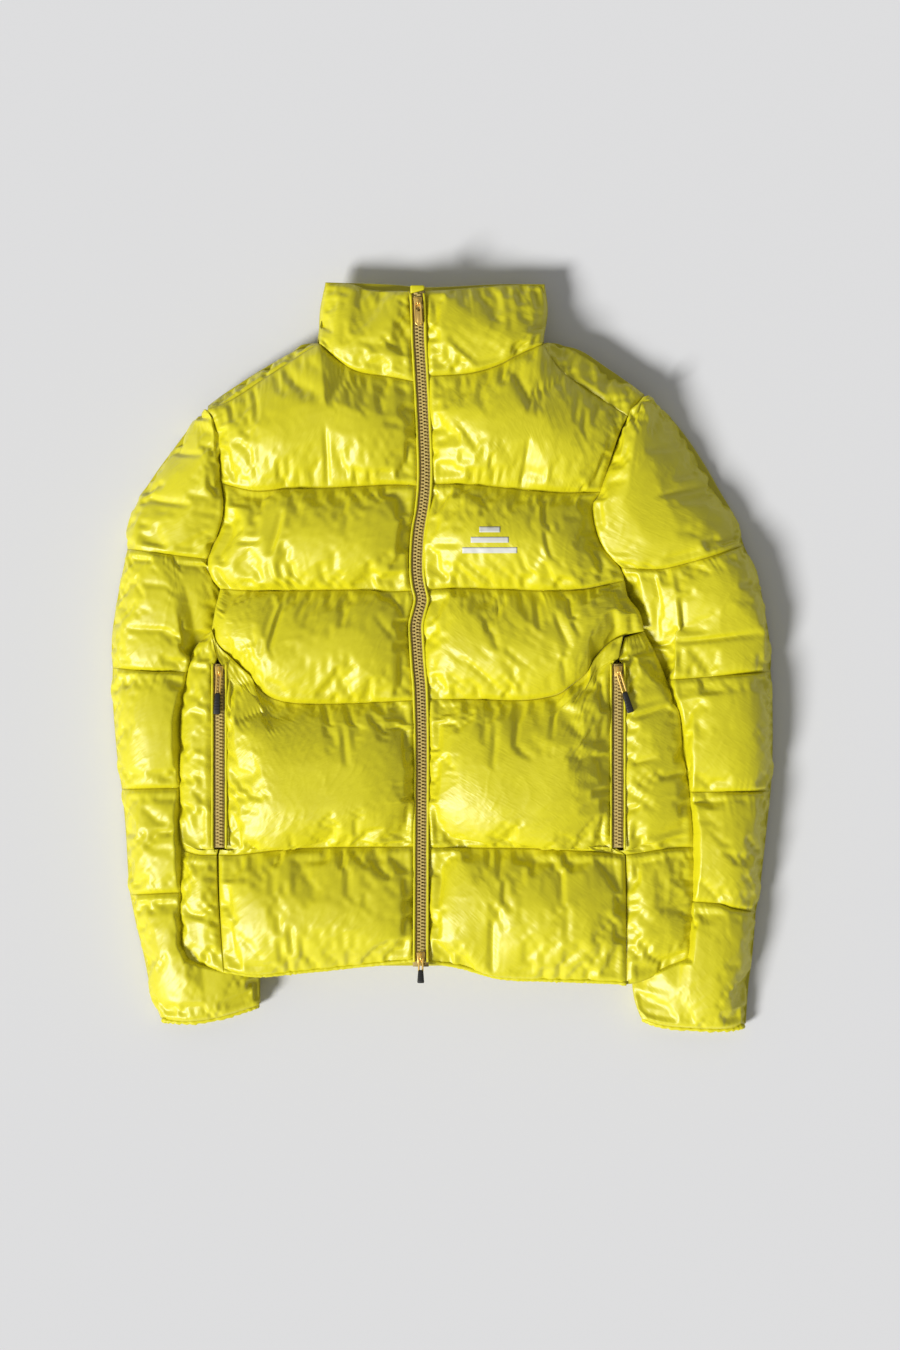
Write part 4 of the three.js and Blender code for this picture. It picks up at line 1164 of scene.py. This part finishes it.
def make_cuff(cloth, side):
    """The bound mouth of a sleeve, gathered on its elastic, and a dark sheet across it: painted shade
    for the inside of the sleeve, in the lining's colour.
    """
    line = resample(cloth["seams"][-1], 60)
    mouth = line[-1] - line[0]
    out = np.array([mouth[1], -mouth[0]]) / np.linalg.norm(mouth)
    if out[1] > 0:
        out = -out
    low, high = box_mm(f"cuff_{side}_binding")
    middle, half = (low.z + high.z) / 2, (high.z - low.z) / 2 - CUFF_RADIUS - 0.1

    def on_mouth(share, ahead):
        """A place along the mouth, and out in front of it."""
        place = [float(np.interp(share, np.linspace(0, 1, 60), line[:, k])) for k in (0, 1)]
        return np.array(place) + out * ahead

    ring = []
    for k in range(96):
        angle = 2 * math.pi * k / 96
        rise = math.copysign(abs(math.sin(angle)) ** 0.7, math.sin(angle))
        x, y = on_mouth(0.5 - 0.47 * math.cos(angle), 1.4 + 0.8 * math.sin(k * 2.1))
        ring.append((x, y, middle + half * rise))
    bm = bmesh.new()
    sweep(bm, ring, CUFF_RADIUS, closed=True, gathers=0.5, seed=7)
    put(bm, f"cuff_{side}_edge", FOLD, f"{side}_sleeve", [f"cuff_{side}_binding"])
    # A dark sheet across the mouth: painted shade where the inside of the sleeve is in shadow.
    bm = bmesh.new()
    bmesh.ops.create_grid(bm, x_segments=32, y_segments=1, size=1)
    for vertex in bm.verts:
        rise = max(1 - vertex.co.x**2, 0.04) ** 0.35
        x, y = on_mouth(0.5 + 0.47 * vertex.co.x, 1.2)
        vertex.co = Vector((x, y, middle + half * rise * vertex.co.y))
    bmesh.ops.solidify(bm, geom=bm.faces, thickness=0.8)
    put(bm, f"cuff_{side}_inside", LINING_AND_SHADE, f"{side}_sleeve")


def make_hem_edge(cloth):
    """The bound edge of a front's hem, gathered on its drawcord."""
    line = resample(lifted(cloth["hem"], HEM_RISE), 110)
    bm = bmesh.new()
    sweep(bm, [(x, y + 0.5, z) for x, y, z in line], 2.4, gathers=0.5, seed=11)
    put(bm, f"hem_edge_{side_name(cloth)}", FOLD, "jacket_body")


def make_print():
    """A plain mark of three bars on the wearer's left chest."""
    chest = PADS["front_left_chest"].data
    tree = BVHTree.FromPolygons([v.co.copy() for v in chest.vertices],
                                [tuple(p.vertices) for p in chest.polygons])
    bm = bmesh.new()
    for x0, x1, y0, y1 in BARS:
        part = bpy.data.meshes.new("bar")
        grid = bmesh.new()
        bmesh.ops.create_grid(grid, x_segments=round((x1 - x0) / 1.6), y_segments=4, size=1)
        for vertex in grid.verts:
            x = x0 + (x1 - x0) * (vertex.co.x + 1) / 2
            y = y0 + (y1 - y0) * (vertex.co.y + 1) / 2
            hit = tree.ray_cast(Vector((x * MM, y * MM, 0.2)), Vector((0, 0, -1)))[0]
            vertex.co = Vector((x, y, hit.z / MM + 0.1))
        bmesh.ops.solidify(grid, geom=grid.faces, thickness=-0.35)
        grid.to_mesh(part)
        grid.free()
        bm.from_mesh(part)
        bpy.data.meshes.remove(part)
    put(bm, "chest_bars", PRINT, "jacket_body")


make_cuff(RIGHT_SLEEVE, "right")
make_cuff(LEFT_SLEEVE, "left")
make_hem_edge(RIGHT)
make_hem_edge(LEFT)
make_print()


# ---- studio


def make_studio():
    """A pale floor, a pale sky and one soft sun."""
    bm = bmesh.new()
    bmesh.ops.create_grid(bm, x_segments=1, y_segments=1, size=40)
    made, _, _, shader = material("pale_floor")
    set_inputs(shader, {"Base Color": (0.718, 0.718, 0.726, 1), "Roughness": 0.9,
                        "Specular IOR Level": 0.1})
    place_object("floor", bm, made)

    world = bpy.data.worlds.new("studio")
    world.use_nodes = True
    set_inputs(world.node_tree.nodes["Background"], {"Color": (1, 1, 1, 1), "Strength": 0.28})
    bpy.context.scene.world = world

    lamp = bpy.data.lights.new("key", "SUN")
    lamp.energy = 3.8
    lamp.angle = math.radians(17)
    key = bpy.data.objects.new("key", lamp)
    direction = Vector((0.80, 0.64, -0.78))
    key.rotation_euler = direction.to_track_quat("-Z", "Y").to_euler()
    bpy.context.collection.objects.link(key)
    bpy.context.scene.view_settings.view_transform = "Standard"


make_studio()
